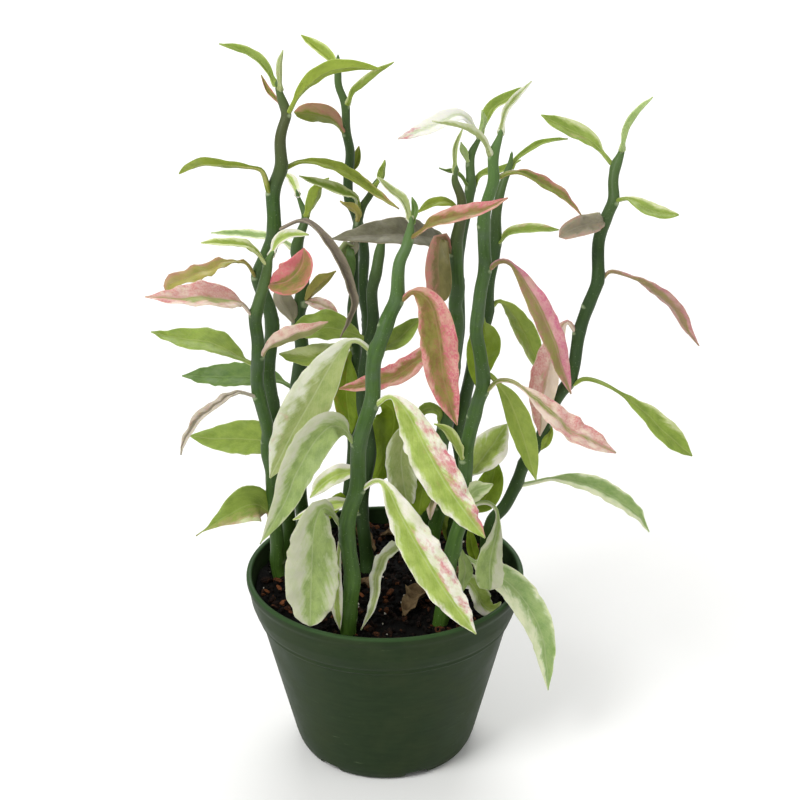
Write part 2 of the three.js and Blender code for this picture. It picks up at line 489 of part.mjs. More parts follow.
// The pot: one moulded shell with drain notches through its bottom edge.
function potGeometry() {
  let shell = toSolid(lathe(potProfile()));
  const reach = 12;
  for (let i = 0; i < DRAIN_COUNT; i += 1) {
    const notch = new THREE.BoxGeometry(reach, DRAIN_WIDTH, DRAIN_HEIGHT * 2);
    notch.translate(WALL_FOOT_RADIUS - reach / 2 + 2, 0, 0);
    notch.rotateZ(THREE.MathUtils.degToRad(DRAIN_TURN_DEG + i * 360 / DRAIN_COUNT));
    shell = shell.subtract(toSolid(notch));
  }
  return toGeometry(shell);
}

// The potting mix fills the pot, a little mounded, and is pierced where each stem is planted.
function soilGeometry(stems) {
  const top = POT_HEIGHT - SOIL_EDGE_DROP;
  const edgeRadius = RIM_RADIUS - RIM_WIDTH - 1.2 - FIT_GAP;
  const profile = [
    [0, FLOOR_THICKNESS + FIT_GAP], [FOOT_RADIUS - FIT_GAP, FLOOR_THICKNESS + FIT_GAP],
    [WALL_FOOT_RADIUS - WALL_THICKNESS - FIT_GAP, CORNER_HEIGHT + 0.6],
    [WALL_TOP_RADIUS - WALL_THICKNESS - FIT_GAP, BAND_FOOT],
    [edgeRadius, BAND_FOOT + 7.5], [edgeRadius, top], [edgeRadius - 12, top + SOIL_MOUND * 0.6],
    [0, top + SOIL_MOUND],
  ];
  let mix = toSolid(lathe(profile));
  for (const stem of stems) {
    mix = mix.subtract(toSolid(barGeometry(stem.curve, (share) => stemRadius(stem, share) + FIT_GAP)));
  }
  return toGeometry(mix);
}

const group = new THREE.Group();
const stems = STEMS.map((stem) => ({ ...stem, curve: stemCurve(stem) }));
const stemNamed = new Map(stems.map((stem) => [stem.name, stem]));

group.add(makeMesh('pot', potGeometry(), 'pot'));
group.add(makeMesh('soil', soilGeometry(stems), 'soil'));
for (const stem of stems) {
  let solid = toSolid(barGeometry(stem.curve, (share) => stemRadius(stem, share)));
  for (const leaf of YOUNG_LEAVES.filter((young) => young.stem === stem.name)) {
    const curve = midribCurve(leaf, stem, true);
    solid = solid.add(toSolid(leafGeometry(leaf, curve, YOUNG_LEAF_ROWS)));
  }
  group.add(makeMesh(stem.name, toGeometry(solid), 'stem'));
}
for (const leaf of LEAVES) {
  const curve = midribCurve(leaf, stemNamed.get(leaf.stem), false);
  group.add(makeMesh(leaf.name, leafGeometry(leaf, curve, LEAF_ROWS), leaf.tint));
}

export default group;
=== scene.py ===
"""Potted variegated devil's backbone: its finished stems, leaves, potting mix and pot on a pale floor."""
import math
import random

import bpy
import numpy as np
from mathutils import Euler, Matrix, Vector, noise


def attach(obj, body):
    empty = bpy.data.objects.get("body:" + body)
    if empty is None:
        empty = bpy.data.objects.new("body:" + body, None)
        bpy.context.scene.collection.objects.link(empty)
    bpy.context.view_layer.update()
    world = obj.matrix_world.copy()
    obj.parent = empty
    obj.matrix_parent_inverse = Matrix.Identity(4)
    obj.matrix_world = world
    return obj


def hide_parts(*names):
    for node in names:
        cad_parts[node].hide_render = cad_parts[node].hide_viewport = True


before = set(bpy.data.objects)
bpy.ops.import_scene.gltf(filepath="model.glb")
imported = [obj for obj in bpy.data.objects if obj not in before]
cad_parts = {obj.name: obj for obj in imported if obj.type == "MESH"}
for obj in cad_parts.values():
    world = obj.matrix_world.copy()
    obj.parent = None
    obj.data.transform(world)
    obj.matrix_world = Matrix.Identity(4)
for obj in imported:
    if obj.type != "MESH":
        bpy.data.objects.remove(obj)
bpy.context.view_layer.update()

MM = 0.001
FULL_TURN = 2 * math.pi

# The pot and its potting mix, in mm.
POT_HEIGHT = 73
RIM_RADIUS = 52.5
RIM_WIDTH = 2.1
BAND_FOOT = 55.5
BAND_TOP = 63
WALL_TOP_RADIUS = 47.4
WALL_FOOT_RADIUS = 35.4
CORNER_HEIGHT = 6.5
INSIDE_CORNER_HEIGHT = 7.1
FOOT_RADIUS = 31.5
WALL_THICKNESS = 1.6
FLOOR_THICKNESS = 2.2
CORNER_ROUNDING = 0.6
POT_SIDES = 144
DRAIN_COUNT = 6
DRAIN_WIDTH = 10
DRAIN_HEIGHT = 2.8
DRAIN_TURN = math.radians(-69)
FIT_GAP = 0.3
SOIL_TOP = 66.5
SOIL_MOUND = 1.6
SOIL_RADIUS = 48.9
SOIL_RINGS = 70
SOIL_SIDES = 168
# The mix's lumps: how wide (mm) and how high each size of them is.
SOIL_LUMPS = ((17, 1.5), (6, 1.1), (2.6, 0.9), (1.3, 0.5))

# Stems, in mm: a stem's nodes swell, each with a ledge under its scar and a bud above it.
ROOT_DEPTH = 20
ROOT_SHRINK = 0.82
STEM_ZIGZAG = 1.3
STEM_SHOULDER = 0.8
STEM_NODES = 11
STEM_SIDES = 20
STEM_STEP = 1.2
STEM_EASING = 7
NODE_SPACING = 17
NODE_SWELL = 0.05
SCAR_LEDGE = 0.3
BUD_HEIGHT = 0.35
TIP_NARROWING = 0.55
TIP_TAPER = 9
TIP_ROUNDING = 1.5

# Leaves, in mm: their thickness, the thin end of the blade, their veins, and what makes them uneven.
PETIOLE_THICKNESS = 0.7
BLADE_THICKNESS = 0.75
TIP_WIDTH = 0.5
TIP_THICKNESS = 0.4
LEAF_STEP = 1.35
LEAF_COLUMNS = 19
MARGIN_ROLL = 0.1
FOLD_SOFTNESS = 0.1
KEEL_HEIGHT = 0.4
KEEL_WIDTH = 0.55
VEIN_SLANT = 2.0
VEIN_GAP = 3.6
VEIN_RELIEF = 0.1
UNEVEN_HALVES = 0.07
NOTCH_SPACING = (5, 8)
RIPPLE_SPACING = (9, 14)
RIPPLE_DRIFT = 27
SWELLING_SPACING = (4.5, 12)
SWELLING_COUNT = 7

# The view that the photographed points are read from: an 800 px square frame, the eye's place in mm.
FRAME_CENTRE = 400
FOCAL = 1580
VIEW_PITCH = math.radians(22.8)
EYE = np.array([5.7, -528.5, 364.1])
VIEW_FORWARD = np.array([0, math.cos(VIEW_PITCH), -math.sin(VIEW_PITCH)])
VIEW_UP = np.array([0, math.sin(VIEW_PITCH), math.cos(VIEW_PITCH)])
VIEW_RIGHT = np.array([1, 0, 0])
SENSOR_WIDTH = 36

FLOOR_SIDE = 30000
PLANT_HEART = (0, 0, 0.14)
# Soft round lamps: where each hangs and where it points (m), how wide it is (m) and its power (W).
LAMPS = {
    "key_light": dict(place=(-0.75, -0.85, 1.35), aim=PLANT_HEART, width=0.7, power=18),
    "fill_light": dict(place=(1.1, -0.6, 1.2), aim=PLANT_HEART, width=1.0, power=3),
    "back_light": dict(place=(0.1, 1.9, 1.8), aim=(0, 1.0, 0), width=2.0, power=40),
}

# Each stem from its tip down to the soil: in mm how far behind the pot's middle it stands at base and tip
# (depth), how far it bows back between them, and its diameter at its base, at its shoulder and at its tip.
# Purple is how strongly its young top is tinged, and the value after it is painted shade: how much darker
# its skin is painted than the brightest stem's, for stems that stand back in the shade of the others. Photo
# is where its middle shows in the photograph (px).
STEMS = {
    "stem_a": dict(depth=(20, 10), bow=-5, across=(5.6, 4.9, 3), purple=0.55, painted_shade=0.25, photo=[(277, 79),
        (278, 88), (283, 103), (287, 114), (283, 126), (280, 140), (281, 157), (281, 169), (273, 192),
        (274, 219), (272, 242), (259, 272), (259, 283), (270, 311), (272, 330), (270, 350), (268, 372),
        (272, 403), (274, 425), (281, 470), (289, 522), (289, 556)]),
    "stem_b": dict(depth=(4, -12), bow=4, across=(5.5, 4.6, 3.2), purple=0.1, painted_shade=0.1, photo=[(274, 251),
        (269, 259), (267, 271), (264, 284), (259, 302), (256, 314), (255, 321), (258, 342), (258, 362),
        (257, 383), (261, 403), (266, 421), (269, 437), (267, 452), (272, 472), (273, 500), (277, 540),
        (279, 573)]),
    "stem_c": dict(depth=(29, 40), bow=-4, across=(5.6, 5.2, 2), purple=0.1, painted_shade=0.45, photo=[(296, 189),
        (299, 199), (304, 211), (306, 218), (300, 235), (297, 247), (298, 260), (303, 289), (301, 303),
        (298, 318), (302, 350), (297, 390), (303, 430), (299, 480), (303, 520), (302, 545)]),
    "stem_k": dict(depth=(37, 50), bow=5, across=(5.7, 3.6, 2.6), purple=0.1, painted_shade=0.65, photo=[(338, 54),
        (338, 75), (338, 85), (341, 93), (345, 103), (346, 116), (346, 131), (350, 149), (350, 160),
        (348, 180), (349, 201), (355, 212), (364, 249), (363, 276), (362, 290), (368, 326), (362, 370),
        (366, 420), (356, 480), (346, 536)]),
    "stem_d": dict(depth=(25, 30), bow=-5, across=(4.8, 3.6, 2.2), purple=0.2, painted_shade=0.6, photo=[(385, 169),
        (380, 178), (375, 184), (370, 196), (363, 205), (358, 222), (354, 250), (354, 294), (352, 313),
        (356, 355), (350, 400), (353, 450), (348, 500), (352, 550)]),
    "stem_m": dict(depth=(7, 15), bow=-1, across=(5.3, 4.2, 4), purple=0.1, painted_shade=0.75, photo=[(384, 233),
        (381, 245), (378, 262), (376, 275), (372, 289), (372, 300), (373, 325), (366, 360), (362, 400),
        (368, 432), (370, 457), (364, 485), (362, 507), (364, 534), (367, 560), (367, 573)]),
    "stem_e": dict(depth=(-37.5, -30), bow=-4, across=(6.2, 5, 3.3), purple=0, painted_shade=0, photo=[(411, 216),
        (411, 225), (409, 237), (406, 249), (400, 260), (398, 275), (397, 299), (390, 313), (386, 326),
        (381, 339), (376, 352), (373, 368), (373, 394), (371, 405), (366, 419), (362, 432), (359, 443),
        (358, 458), (358, 483), (355, 496), (350, 510), (347, 526), (348, 547), (352, 572), (352, 588),
        (350, 601), (348, 633)]),
    "stem_f": dict(depth=(8, -2), bow=5, across=(5.8, 4.8, 2.6), purple=0.6, painted_shade=0.05, photo=[(457, 165),
        (456, 172), (454, 179), (458, 189), (462, 201), (460, 224), (457, 237), (456, 250), (457, 275),
        (458, 293), (455, 304), (457, 325), (451, 370), (446, 418), (438, 460), (440, 500), (432, 540),
        (430, 571)]),
    "stem_j": dict(depth=(32, 44), bow=-4, across=(5, 4.3, 2.8), purple=0.1, painted_shade=0.4, photo=[(482, 133),
        (477, 143), (471, 154), (470, 167), (471, 183), (469, 197), (461, 237), (458, 262), (459, 300),
        (459, 330), (454, 370), (448, 420), (436, 470), (428, 510), (416, 541)]),
    "stem_g": dict(depth=(-31.5, -26), bow=5, across=(5.8, 4.3, 3.3), purple=0, painted_shade=0, photo=[(501, 129),
        (500, 137), (497, 144), (494, 152), (493, 166), (494, 179), (491, 190), (487, 202), (484, 218),
        (484, 241), (485, 269), (481, 288), (478, 313), (476, 332), (479, 347), (482, 368), (483, 387),
        (478, 401), (475, 414), (470, 432), (466, 452), (466, 466), (464, 485), (462, 517), (457, 532),
        (453, 548), (447, 580), (440, 624)]),
    "stem_h": dict(depth=(15, 22), bow=-5, across=(4.9, 4.3, 2.4), purple=0.15, painted_shade=0.45,
        photo=[(512, 151), (510, 165), (505, 178), (500, 195), (496, 216), (496, 236), (494, 256),
        (489, 281), (488, 300), (487, 318), (476, 350), (469, 381), (463, 408), (458, 436), (462, 480),
        (452, 520), (455, 560)]),
    "stem_i": dict(depth=(-1.5, 12), bow=-6, across=(4.6, 4.5, 3.4), purple=0.1, painted_shade=0.55,
        photo=[(624, 142), (621, 154), (616, 166), (613, 181), (614, 200), (609, 211), (600, 235),
        (598, 250), (598, 280), (593, 294), (587, 309), (582, 323), (578, 339), (574, 367), (569, 382),
        (561, 392), (553, 405), (545, 426), (539, 442), (524, 464), (518, 480), (509, 499), (502, 510),
        (492, 520), (486, 545), (480, 583)]),
}


def blade(stem, skin, back, width, turned, photo, **own):
    return dict(own, stem="stem_" + stem, skin=skin, back=back, width=width, turned=turned, photo=photo)


# What a leaf has unless its own row says otherwise: how far its halves fold up (degrees), how high its
# margins ripple (mm), how deep their notches are (share of its width), the petiole's share of its length and
# its width (mm), the powers of its outline's rise and fall, and how brown its tip is. Green is how much of
# each half is green and pink how pink the rest is: first on the left of the midrib and then on the right, as
# seen from the stem, each either one value or a row of values from base to tip.
LEAF_DEFAULTS = dict(fold=24, wave=0.3, notch=0.02, petiole=0.12, stalk=1.9, rise=0.95, fall=0.95, brown=0,
                     green=(1.4, 1.4), pink=(0, 0))
YOUNG_DEFAULTS = dict(LEAF_DEFAULTS, fold=42, wave=0.1, petiole=0.05, stalk=2.8)


# Each leaf: its stem and skin, how far its tip reaches back from its node (mm, minus towards the viewer), its
# real width (mm), how far its blade is turned to the viewer (0 lies level across its heading, 1 faces the
# eye), where its midrib shows in the photograph from node to tip (px), and what differs from its defaults.
LEAVES = {
    "a4": blade("a", "bright", -12, 6.8, 0.55, [(292, 112), (300, 93), (320, 75), (345, 67), (382, 69)],
        wave=0.1),
    "a6": blade("a", "olive", 14, 6.6, 0.45, [(287, 170), (300, 162), (319, 163), (343, 171), (374, 192),
        (399, 209)], wave=0.1, green=((1.3, 1.2, 0.1), (1.3, 1.2, 0.2)), pink=((0, 0.3, 1), (0, 0.1, 1))),
    "a7": blade("a", "umber", -16, 6.5, 0.1, [(281, 229), (298, 221), (311, 225), (327, 243), (340, 265),
        (349, 289), (352, 307), (340, 338)], fold=40, green=((1.3, 0.6, 0.6), 0.5), pink=(0.1, 0.1),
        wave=0.1),
    "a8": blade("a", "tan", -24, 8.5, 0.3, [(255, 275), (247, 264), (233, 261), (213, 268), (190, 277),
        (171, 284), (166, 292)], wave=1, petiole=0.18, green=(1.3, 0.6), pink=(0.3, (0.3, 0.8, 1)),
        rise=1.5, fall=0.6),
    "b1": blade("b", "lime", -12, 6.5, 0.3, [(264, 262), (257, 253), (245, 247), (222, 244), (201, 243)],
        fold=36, green=(0.45, 0.45)),
    "b3": blade("b", "blush", -22, 13.5, 0.4, [(250, 312), (242, 304), (230, 300), (205, 297), (175, 298),
        (145, 297)], petiole=0.2, rise=0.7, fall=1.1, green=((0, 0.3, 0.8, 0.6, 0.1), 0),
        pink=((0.4, 0.6, 1), (0.95, 1, 1)), notch=0.05),
    "b4": blade("b", "leafy", 14, 13.5, 0.35, [(252, 366), (244, 360), (232, 353), (211, 343), (181, 339),
        (151, 332)], fall=1.1),
    "b5": blade("c", "green", 20, 13.5, 0.45, [(295, 389), (275, 379), (251, 377), (220, 377),
        (182, 376)]),
    "b6": blade("b", "taupe", -22, 5.8, 0.1, [(254, 396), (244, 393), (236, 393), (221, 402), (206, 413),
        (193, 427), (184, 443), (181, 455)], fold=30, green=(0, (0, 0.5)), pink=((0, 0.5), (0, 0.5, 0.7))),
    "b7": blade("a", "leafy", 14, 15.5, 0.7, [(273, 447), (262, 441), (240, 439), (215, 439), (190, 436)],
        rise=0.35, petiole=0.05, fall=0.8),
    "b8": blade("b", "leafy", -14, 16, 0.7, [(270, 512), (258, 505), (244, 507), (222, 519), (196, 536)],
        rise=0.8, fall=2.2, brown=0.3, green=((0.8, 0.8, 1.3), 1.3), pink=(0.8, 0)),
    "p1": blade("b", "blush", -18, 7.8, 0.6, [(262, 354), (268, 347), (291, 335), (310, 329), (328, 322)],
        green=(1.3, 0), pink=((0, 0, 0.5), (0.8, 0.7, 1))),
    "p2": blade("d", "lime", -10, 10.5, 0.5, [(356, 345), (345, 346), (327, 353), (306, 358), (279, 354)],
        green=(1.2, 0.2)),
    "p3": blade("m", "leafy", 3, 13, 0.6, [(368, 340), (352, 333), (330, 328), (308, 329), (288, 333)],
        wave=0.8),
    "c4": blade("b", "flame", -4, 14, 0.85, [(266, 283), (276, 284), (288, 281), (298, 272), (303, 261),
        (304, 248)], fold=34, rise=0.8, fall=0.8, green=((0, 0.45, 0.35, 0), (0.9, 1, 0.95, 0.7)),
        pink=(1, (1, 0.9, 0.9)), petiole=0.05),
    "k3": blade("k", "ripe", -14, 9.5, 0.6, [(342, 131), (336, 122), (326, 117), (311, 114), (294, 112)],
        green=(0.2, 1.3), pink=((0.9, 0.7), 0.1), wave=0.1, fall=0.6),
    "f0": blade("j", "smoky", -52, 13.5, 0.5, [(461, 246), (449, 244), (428, 238), (404, 235), (365, 236),
        (331, 239)]),
    "e3": blade("e", "rose", -16, 8.7, 0.4, [(414, 237), (423, 230), (435, 222), (460, 216), (486, 209),
        (508, 198)], wave=0.05, green=((1, 0.5, 0.1), (1.2, 0.8, 0.2)),
        pink=((0.4, 0.8, 1), (0.2, 0.5, 1))),
    "e4": blade("e", "rose", -24, 13.3, 1, [(402, 299), (412, 292), (422, 295), (432, 308), (439, 339),
        (443, 377), (450, 403), (457, 425)], rise=0.85,
        green=((0.7, 0.35, 0.15, 0.4, 0.3), (0.95, 0.85, 0.8, 0.7, 0.6)), pink=((0.8, 1), (0.6, 0.9)),
        wave=0.6, notch=0.05),
    "e5": blade("e", "pale", -2, 16.5, 0.9, [(369, 349), (358, 341), (346, 344), (331, 365), (313, 397),
        (291, 436), (270, 478)], green=((1.3, 1.2, 1), (0, 0.3, 0.5, 0.5)),
        pink=(0.1, (0.2, 0.35, 0.5, 0.4)), notch=0.03),
    "e6": blade("e", "shaded", -26, 14, 0.85, [(352, 440), (343, 429), (330, 427), (316, 440), (304, 459),
        (294, 479), (286, 500), (273, 523), (260, 544)], green=((1.2, 1.1, 1, 0.9), (0.5, 0.35, 0.5, 0.4)),
        pink=(0, 0.1), notch=0.04, fold=28, rise=0.65, fall=1.15),
    "e7": blade("e", "cream", -22, 14.8, 0.9, [(378, 405), (387, 397), (397, 400), (410, 418), (426, 450),
        (446, 485), (470, 519), (485, 538)], wave=1.3,
        green=((0.5, 0.3, 0.15, 0.25, 0.6), (0.75, 0.72, 0.75, 0.82, 0.9)),
        pink=((0.6, 0.5, 0.7, 0.85, 0.9), (0.5, 0.4, 0.4)), notch=0.08),
    "e8": blade("e", "cream", -20, 14.5, 0.9, [(365, 488), (375, 481), (386, 486), (400, 515), (420, 552),
        (445, 592), (476, 634)], wave=0.9, green=((0.3, 0.27, 0.2, 0.1, 0.4), (0.5, 0.6, 0.85, 0.85, 0.9)),
        pink=((0.1, 0.3, 0.65, 0.75, 0.5), (0, 0.1, 0.3)), notch=0.07),
    "e9": blade("e", "shaded", -8, 20.5, 0.9, [(340, 525), (331, 512), (321, 509), (314, 530), (312, 560),
        (311, 590), (310, 626)], fall=0.65, wave=0.8, green=((0.9, 0.75, 0.7, 0.6), (0.6, 0.3, 0.25, 0.2)),
        notch=0.05),
    "e11": blade("f", "pale", -48, 5.5, 0.3, [(431, 549), (416, 543), (400, 546), (386, 555), (377, 575),
        (373, 605), (361, 630)], wave=0.6, green=(0.6, 0.3)),
    "m1": blade("d", "backlit", -8, 11, 0.9, [(357, 350), (348, 362), (346, 390), (348, 412), (351, 434)],
        green=(1.3, (0.3, 0.9, 1.3)), pink=(0, 0.7)),
    "m2": blade("m", "backlit", 8, 19, 0.9, [(369, 412), (382, 403), (394, 414), (389, 447), (374, 484)]),
    "f1": blade("f", "dusky", -12, 10, 0.9, [(451, 252), (446, 241), (440, 240), (438, 262), (439, 285),
        (438, 303)], green=(1.3, 0.35), pink=(0.1, 0.9), fall=0.45),
    "f2": blade("f", "rose", -20, 10, 0.5, [(449, 337), (436, 345), (420, 358), (397, 375), (366, 384),
        (339, 389)], green=(0.5, 0.4), pink=(0.7, 0.9), notch=0.05),
    "j6": blade("j", "white", -12, 8, 0.5, [(476, 133), (468, 120), (455, 116), (433, 126), (398, 139)],
        green=(0.2, 0.2), pink=((0, 0, 1), (0, 0, 1))),
    "g3": blade("g", "ripe", 14, 7.6, 0.4, [(499, 178), (509, 173), (524, 174), (546, 186), (564, 197),
        (581, 215)], wave=0.1, petiole=0.2, green=((0.8, 0.6, 0.3), (1.3, 1.1, 0.5)),
        pink=((0.5, 0.9), (0.1, 0.8))),
    "g4": blade("g", "mauve", -20, 8.8, 0.7, [(490, 269), (498, 262), (508, 262), (518, 272), (531, 293),
        (543, 316), (554, 343), (563, 371), (571, 394)], petiole=0.17,
        green=((0.1, 0, 0), (1.2, 1.1, 0.8)), pink=((0.8, 1), (0.6, 0.8)), notch=0.03),
    "g5": blade("g", "blush", -22, 10.5, 0.45, [(487, 389), (498, 381), (513, 382), (530, 394), (548, 409),
        (568, 428), (590, 440), (616, 453)], petiole=0.26,
        green=((1.3, 0.9, 0.3, 0.1, 0, 0.3), (1.3, 0.9, 0.6, 0.2, 0.1, 0.3)),
        pink=((0, 0.5, 0.9, 0.9, 0.8), (0, 0.4, 0.6, 0.8, 0.8)), notch=0.05, wave=0.6, rise=1.3),
    "g6": blade("g", "lime", 3, 9.8, 0.8, [(486, 374), (496, 381), (510, 401), (521, 430), (529, 456),
        (536, 480)], wave=0.15),
    "g9": blade("g", "cream", 14, 14, 0.8, [(470, 480), (480, 462), (492, 446), (507, 424)],
        green=(0.7, 0.6), wave=0.8, notch=0.06),
    "g12": blade("g", "shaded", -9, 11, 0.9, [(467, 510), (476, 504), (488, 503), (497, 512), (496, 535),
        (490, 562), (490, 590)], wave=1.1, green=((1.3, 0.9, 0.6, 0.2, 0.1), (0.1, 0.1, 0.4, 0.9, 0.9)),
        notch=0.06, rise=1.4, fall=0.38, petiole=0.3),
    "g13": blade("g", "cream", 6, 10, 0.6, [(451, 592), (463, 584), (470, 583), (477, 593), (484, 606),
        (494, 610), (501, 602)], green=(0.8, 0.4)),
    "g14": blade("g", "jade", 5, 13, 0.8, [(457, 553), (480, 566), (504, 580), (519, 594), (533, 615),
        (542, 636), (546, 660), (548, 690)], green=((0.9, 0.75, 0.9, 0.85), (0.5, 0.4, 0.3, 0.35)),
        notch=0.03, rise=0.6),
    "h3": blade("h", "lime", 10, 10, 0.6, [(491, 308), (499, 301), (510, 309), (523, 330), (533, 352),
        (543, 378)], wave=0.15, green=((1.2, 0.8, 0.6, 0.5), 1.3), pink=((0.3, 0.6, 0.7), 0)),
    "i1": blade("i", "leafy", 12, 9, 0.4, [(612, 164), (606, 157), (596, 146), (584, 137), (571, 131),
        (557, 124), (541, 115)], wave=0.1, petiole=0.2,
        green=((1.3, 1.2, 1.1, 1.2), (0.6, 0.4, 0.45, 0.9)), pink=((0, 0.7, 0.2), 0)),
    "i2": blade("i", "leafy", -16, 7, 0.4, [(617, 201), (630, 199), (645, 208), (662, 214), (679, 215)],
        wave=0.1, fall=0.75, petiole=0.2, green=(0.4, 1.3)),
    "i3": blade("i", "ash", -14, 8, 0.9, [(607, 221), (599, 222), (586, 225), (571, 230), (559, 237)],
        fall=0.45, green=(0.65, (0.9, 0.9, 0.5)), pink=((0.8, 0.5, 0.9), (0.4, 0.3, 0.9)), rise=0.5,
        petiole=0.04, wave=0.8),
    "i4": blade("i", "mauve", 16, 7, 0.45, [(602, 279), (609, 272), (620, 273), (640, 281), (659, 294),
        (676, 310), (689, 332), (699, 346)], wave=0.15, petiole=0.24,
        green=((0.3, 0.35, 0.3), (0.9, 0.7, 0.3)), pink=((0.3, 0.2, 0.2), (0.7, 0.6, 0.9))),
    "i5": blade("i", "blush", -8, 12, 0.6, [(576, 331), (568, 322), (561, 329), (554, 350), (545, 385),
        (540, 436)], green=(0, 0.1), pink=(0.3, 1)),
    "i6": blade("i", "leafy", -20, 10, 0.5, [(573, 384), (584, 379), (599, 382), (618, 392), (643, 411),
        (665, 433), (692, 456)], rise=2, petiole=0.28, green=((1.2, 0.9, 0.7, 0.5, 0.9), 1.3), fall=1),
    "i7": blade("i", "jade", 10, 9.8, 0.5, [(523, 487), (536, 482), (552, 479), (575, 482), (597, 489),
        (622, 503), (638, 516), (649, 532)], petiole=0.2, green=(0.75, 0.25), notch=0.03),
}

# Young leaves at the shoot tips and short side leaves, which the stem's own solid stands for.
YOUNG_LEAVES = {
    "a1": blade("a", "leafy", 6, 5.4, 0.45, [(274, 86), (262, 64), (246, 53), (219, 44)],
        green=(1.3, 0.8)),
    "a2": blade("a", "pale", -5, 4, 0.45, [(277, 88), (280, 66), (283, 50)], fold=55, green=(0.8, 0.8),
        pink=(0.4, 0.4)),
    "a3": blade("a", "ripe", 6, 3.4, 0.45, [(280, 106), (268, 92), (261, 75)], fold=55, green=(0.8, 0.8),
        pink=(0.9, 0.9)),
    "a5": blade("a", "olive", -10, 6.5, 0.25, [(268, 191), (264, 175), (257, 169), (234, 167), (198, 166),
        (179, 174)], petiole=0.25, green=((1.3, 0.3, 1.3, 1.3), 1.3), rise=1.4, fall=0.7),
    "b2": blade("b", "cream", 8, 6, 0.45, [(272, 256), (279, 242), (291, 236), (309, 235)],
        green=(0.5, 0.5)),
    "c1": blade("c", "cream", 8, 5, 0.45, [(298, 195), (291, 180), (283, 173)], green=(0.4, 0.4)),
    "c2": blade("c", "bright", -10, 7, 0.45, [(307, 216), (315, 200), (319, 189), (329, 178)]),
    "c3": blade("c", "jade", 8, 5.5, 0.45, [(295, 250), (283, 242), (266, 238), (243, 235), (211, 233)],
        green=(0.6, 0.6)),
    "k1": blade("k", "bright", 10, 7, 0.45, [(338, 70), (329, 58), (314, 46), (301, 35)],
        green=(0.8, 0.7)),
    "k2": blade("k", "leafy", -6, 5.5, 0.45, [(347, 104), (354, 93), (367, 82), (394, 62)],
        green=(0.5, 0.8), pink=((0.1, 0.5), (0.3, 0.6))),
    "k4": blade("k", "olive", 6, 4.5, 0.9, [(349, 172), (356, 162), (359, 146)], green=(1.3, 1.3),
        pink=((0, 0, 1), (0, 0, 1))),
    "d1": blade("d", "leafy", -8, 7, 0.45, [(363, 210), (354, 198), (343, 194), (319, 185), (299, 176)],
        green=(0.7, 0.55), pink=(0.2, 0.5)),
    "e1": blade("e", "pale", 8, 4.6, 0.45, [(410, 219), (403, 201), (391, 191), (377, 177)],
        green=(0.7, 0.8), pink=(0.5, 0.4)),
    "e2": blade("e", "green", 3, 3.2, 0.45, [(411, 222), (415, 209), (412, 197)], green=(1.2, 1.2)),
    "f4": blade("f", "pale", 6, 3.2, 0.45, [(457, 172), (456, 148), (463, 128)], fold=55,
        green=(0.8, 0.8)),
    "j1": blade("j", "leafy", 10, 6.5, 0.45, [(483, 137), (491, 111), (504, 101), (527, 87)],
        green=(0.9, 0.9)),
    "j2": blade("j", "jade", -4, 3.4, 0.45, [(482, 136), (484, 122), (482, 110)]),
    "j4": blade("j", "leafy", 8, 4.6, 0.45, [(473, 187), (482, 175), (501, 171), (521, 160)]),
    "g1": blade("g", "pale", 8, 4.4, 0.45, [(501, 133), (507, 111), (518, 97), (532, 81)], fold=50,
        green=(0.5, 0.2), pink=(0.1, 0.1)),
    "g2": blade("g", "pale", -8, 4.2, 0.45, [(492, 154), (483, 141), (474, 134), (460, 127), (432, 121)],
        green=(0.5, 0.7), pink=(0.4, 0.3)),
    "h1": blade("h", "leafy", 8, 3.6, 0.45, [(510, 168), (518, 158), (530, 150), (546, 142), (568, 139)]),
    "h2": blade("h", "leafy", -8, 6.5, 0.45, [(498, 241), (509, 234), (523, 231), (546, 230), (559, 230)],
        green=(0.7, 1.3), pink=(0.6, 0)),
    "i0": blade("i", "jade", -8, 4.8, 0.45, [(622, 148), (628, 130), (639, 112), (653, 97)], fold=50,
        green=(0.6, 0.9)),
}

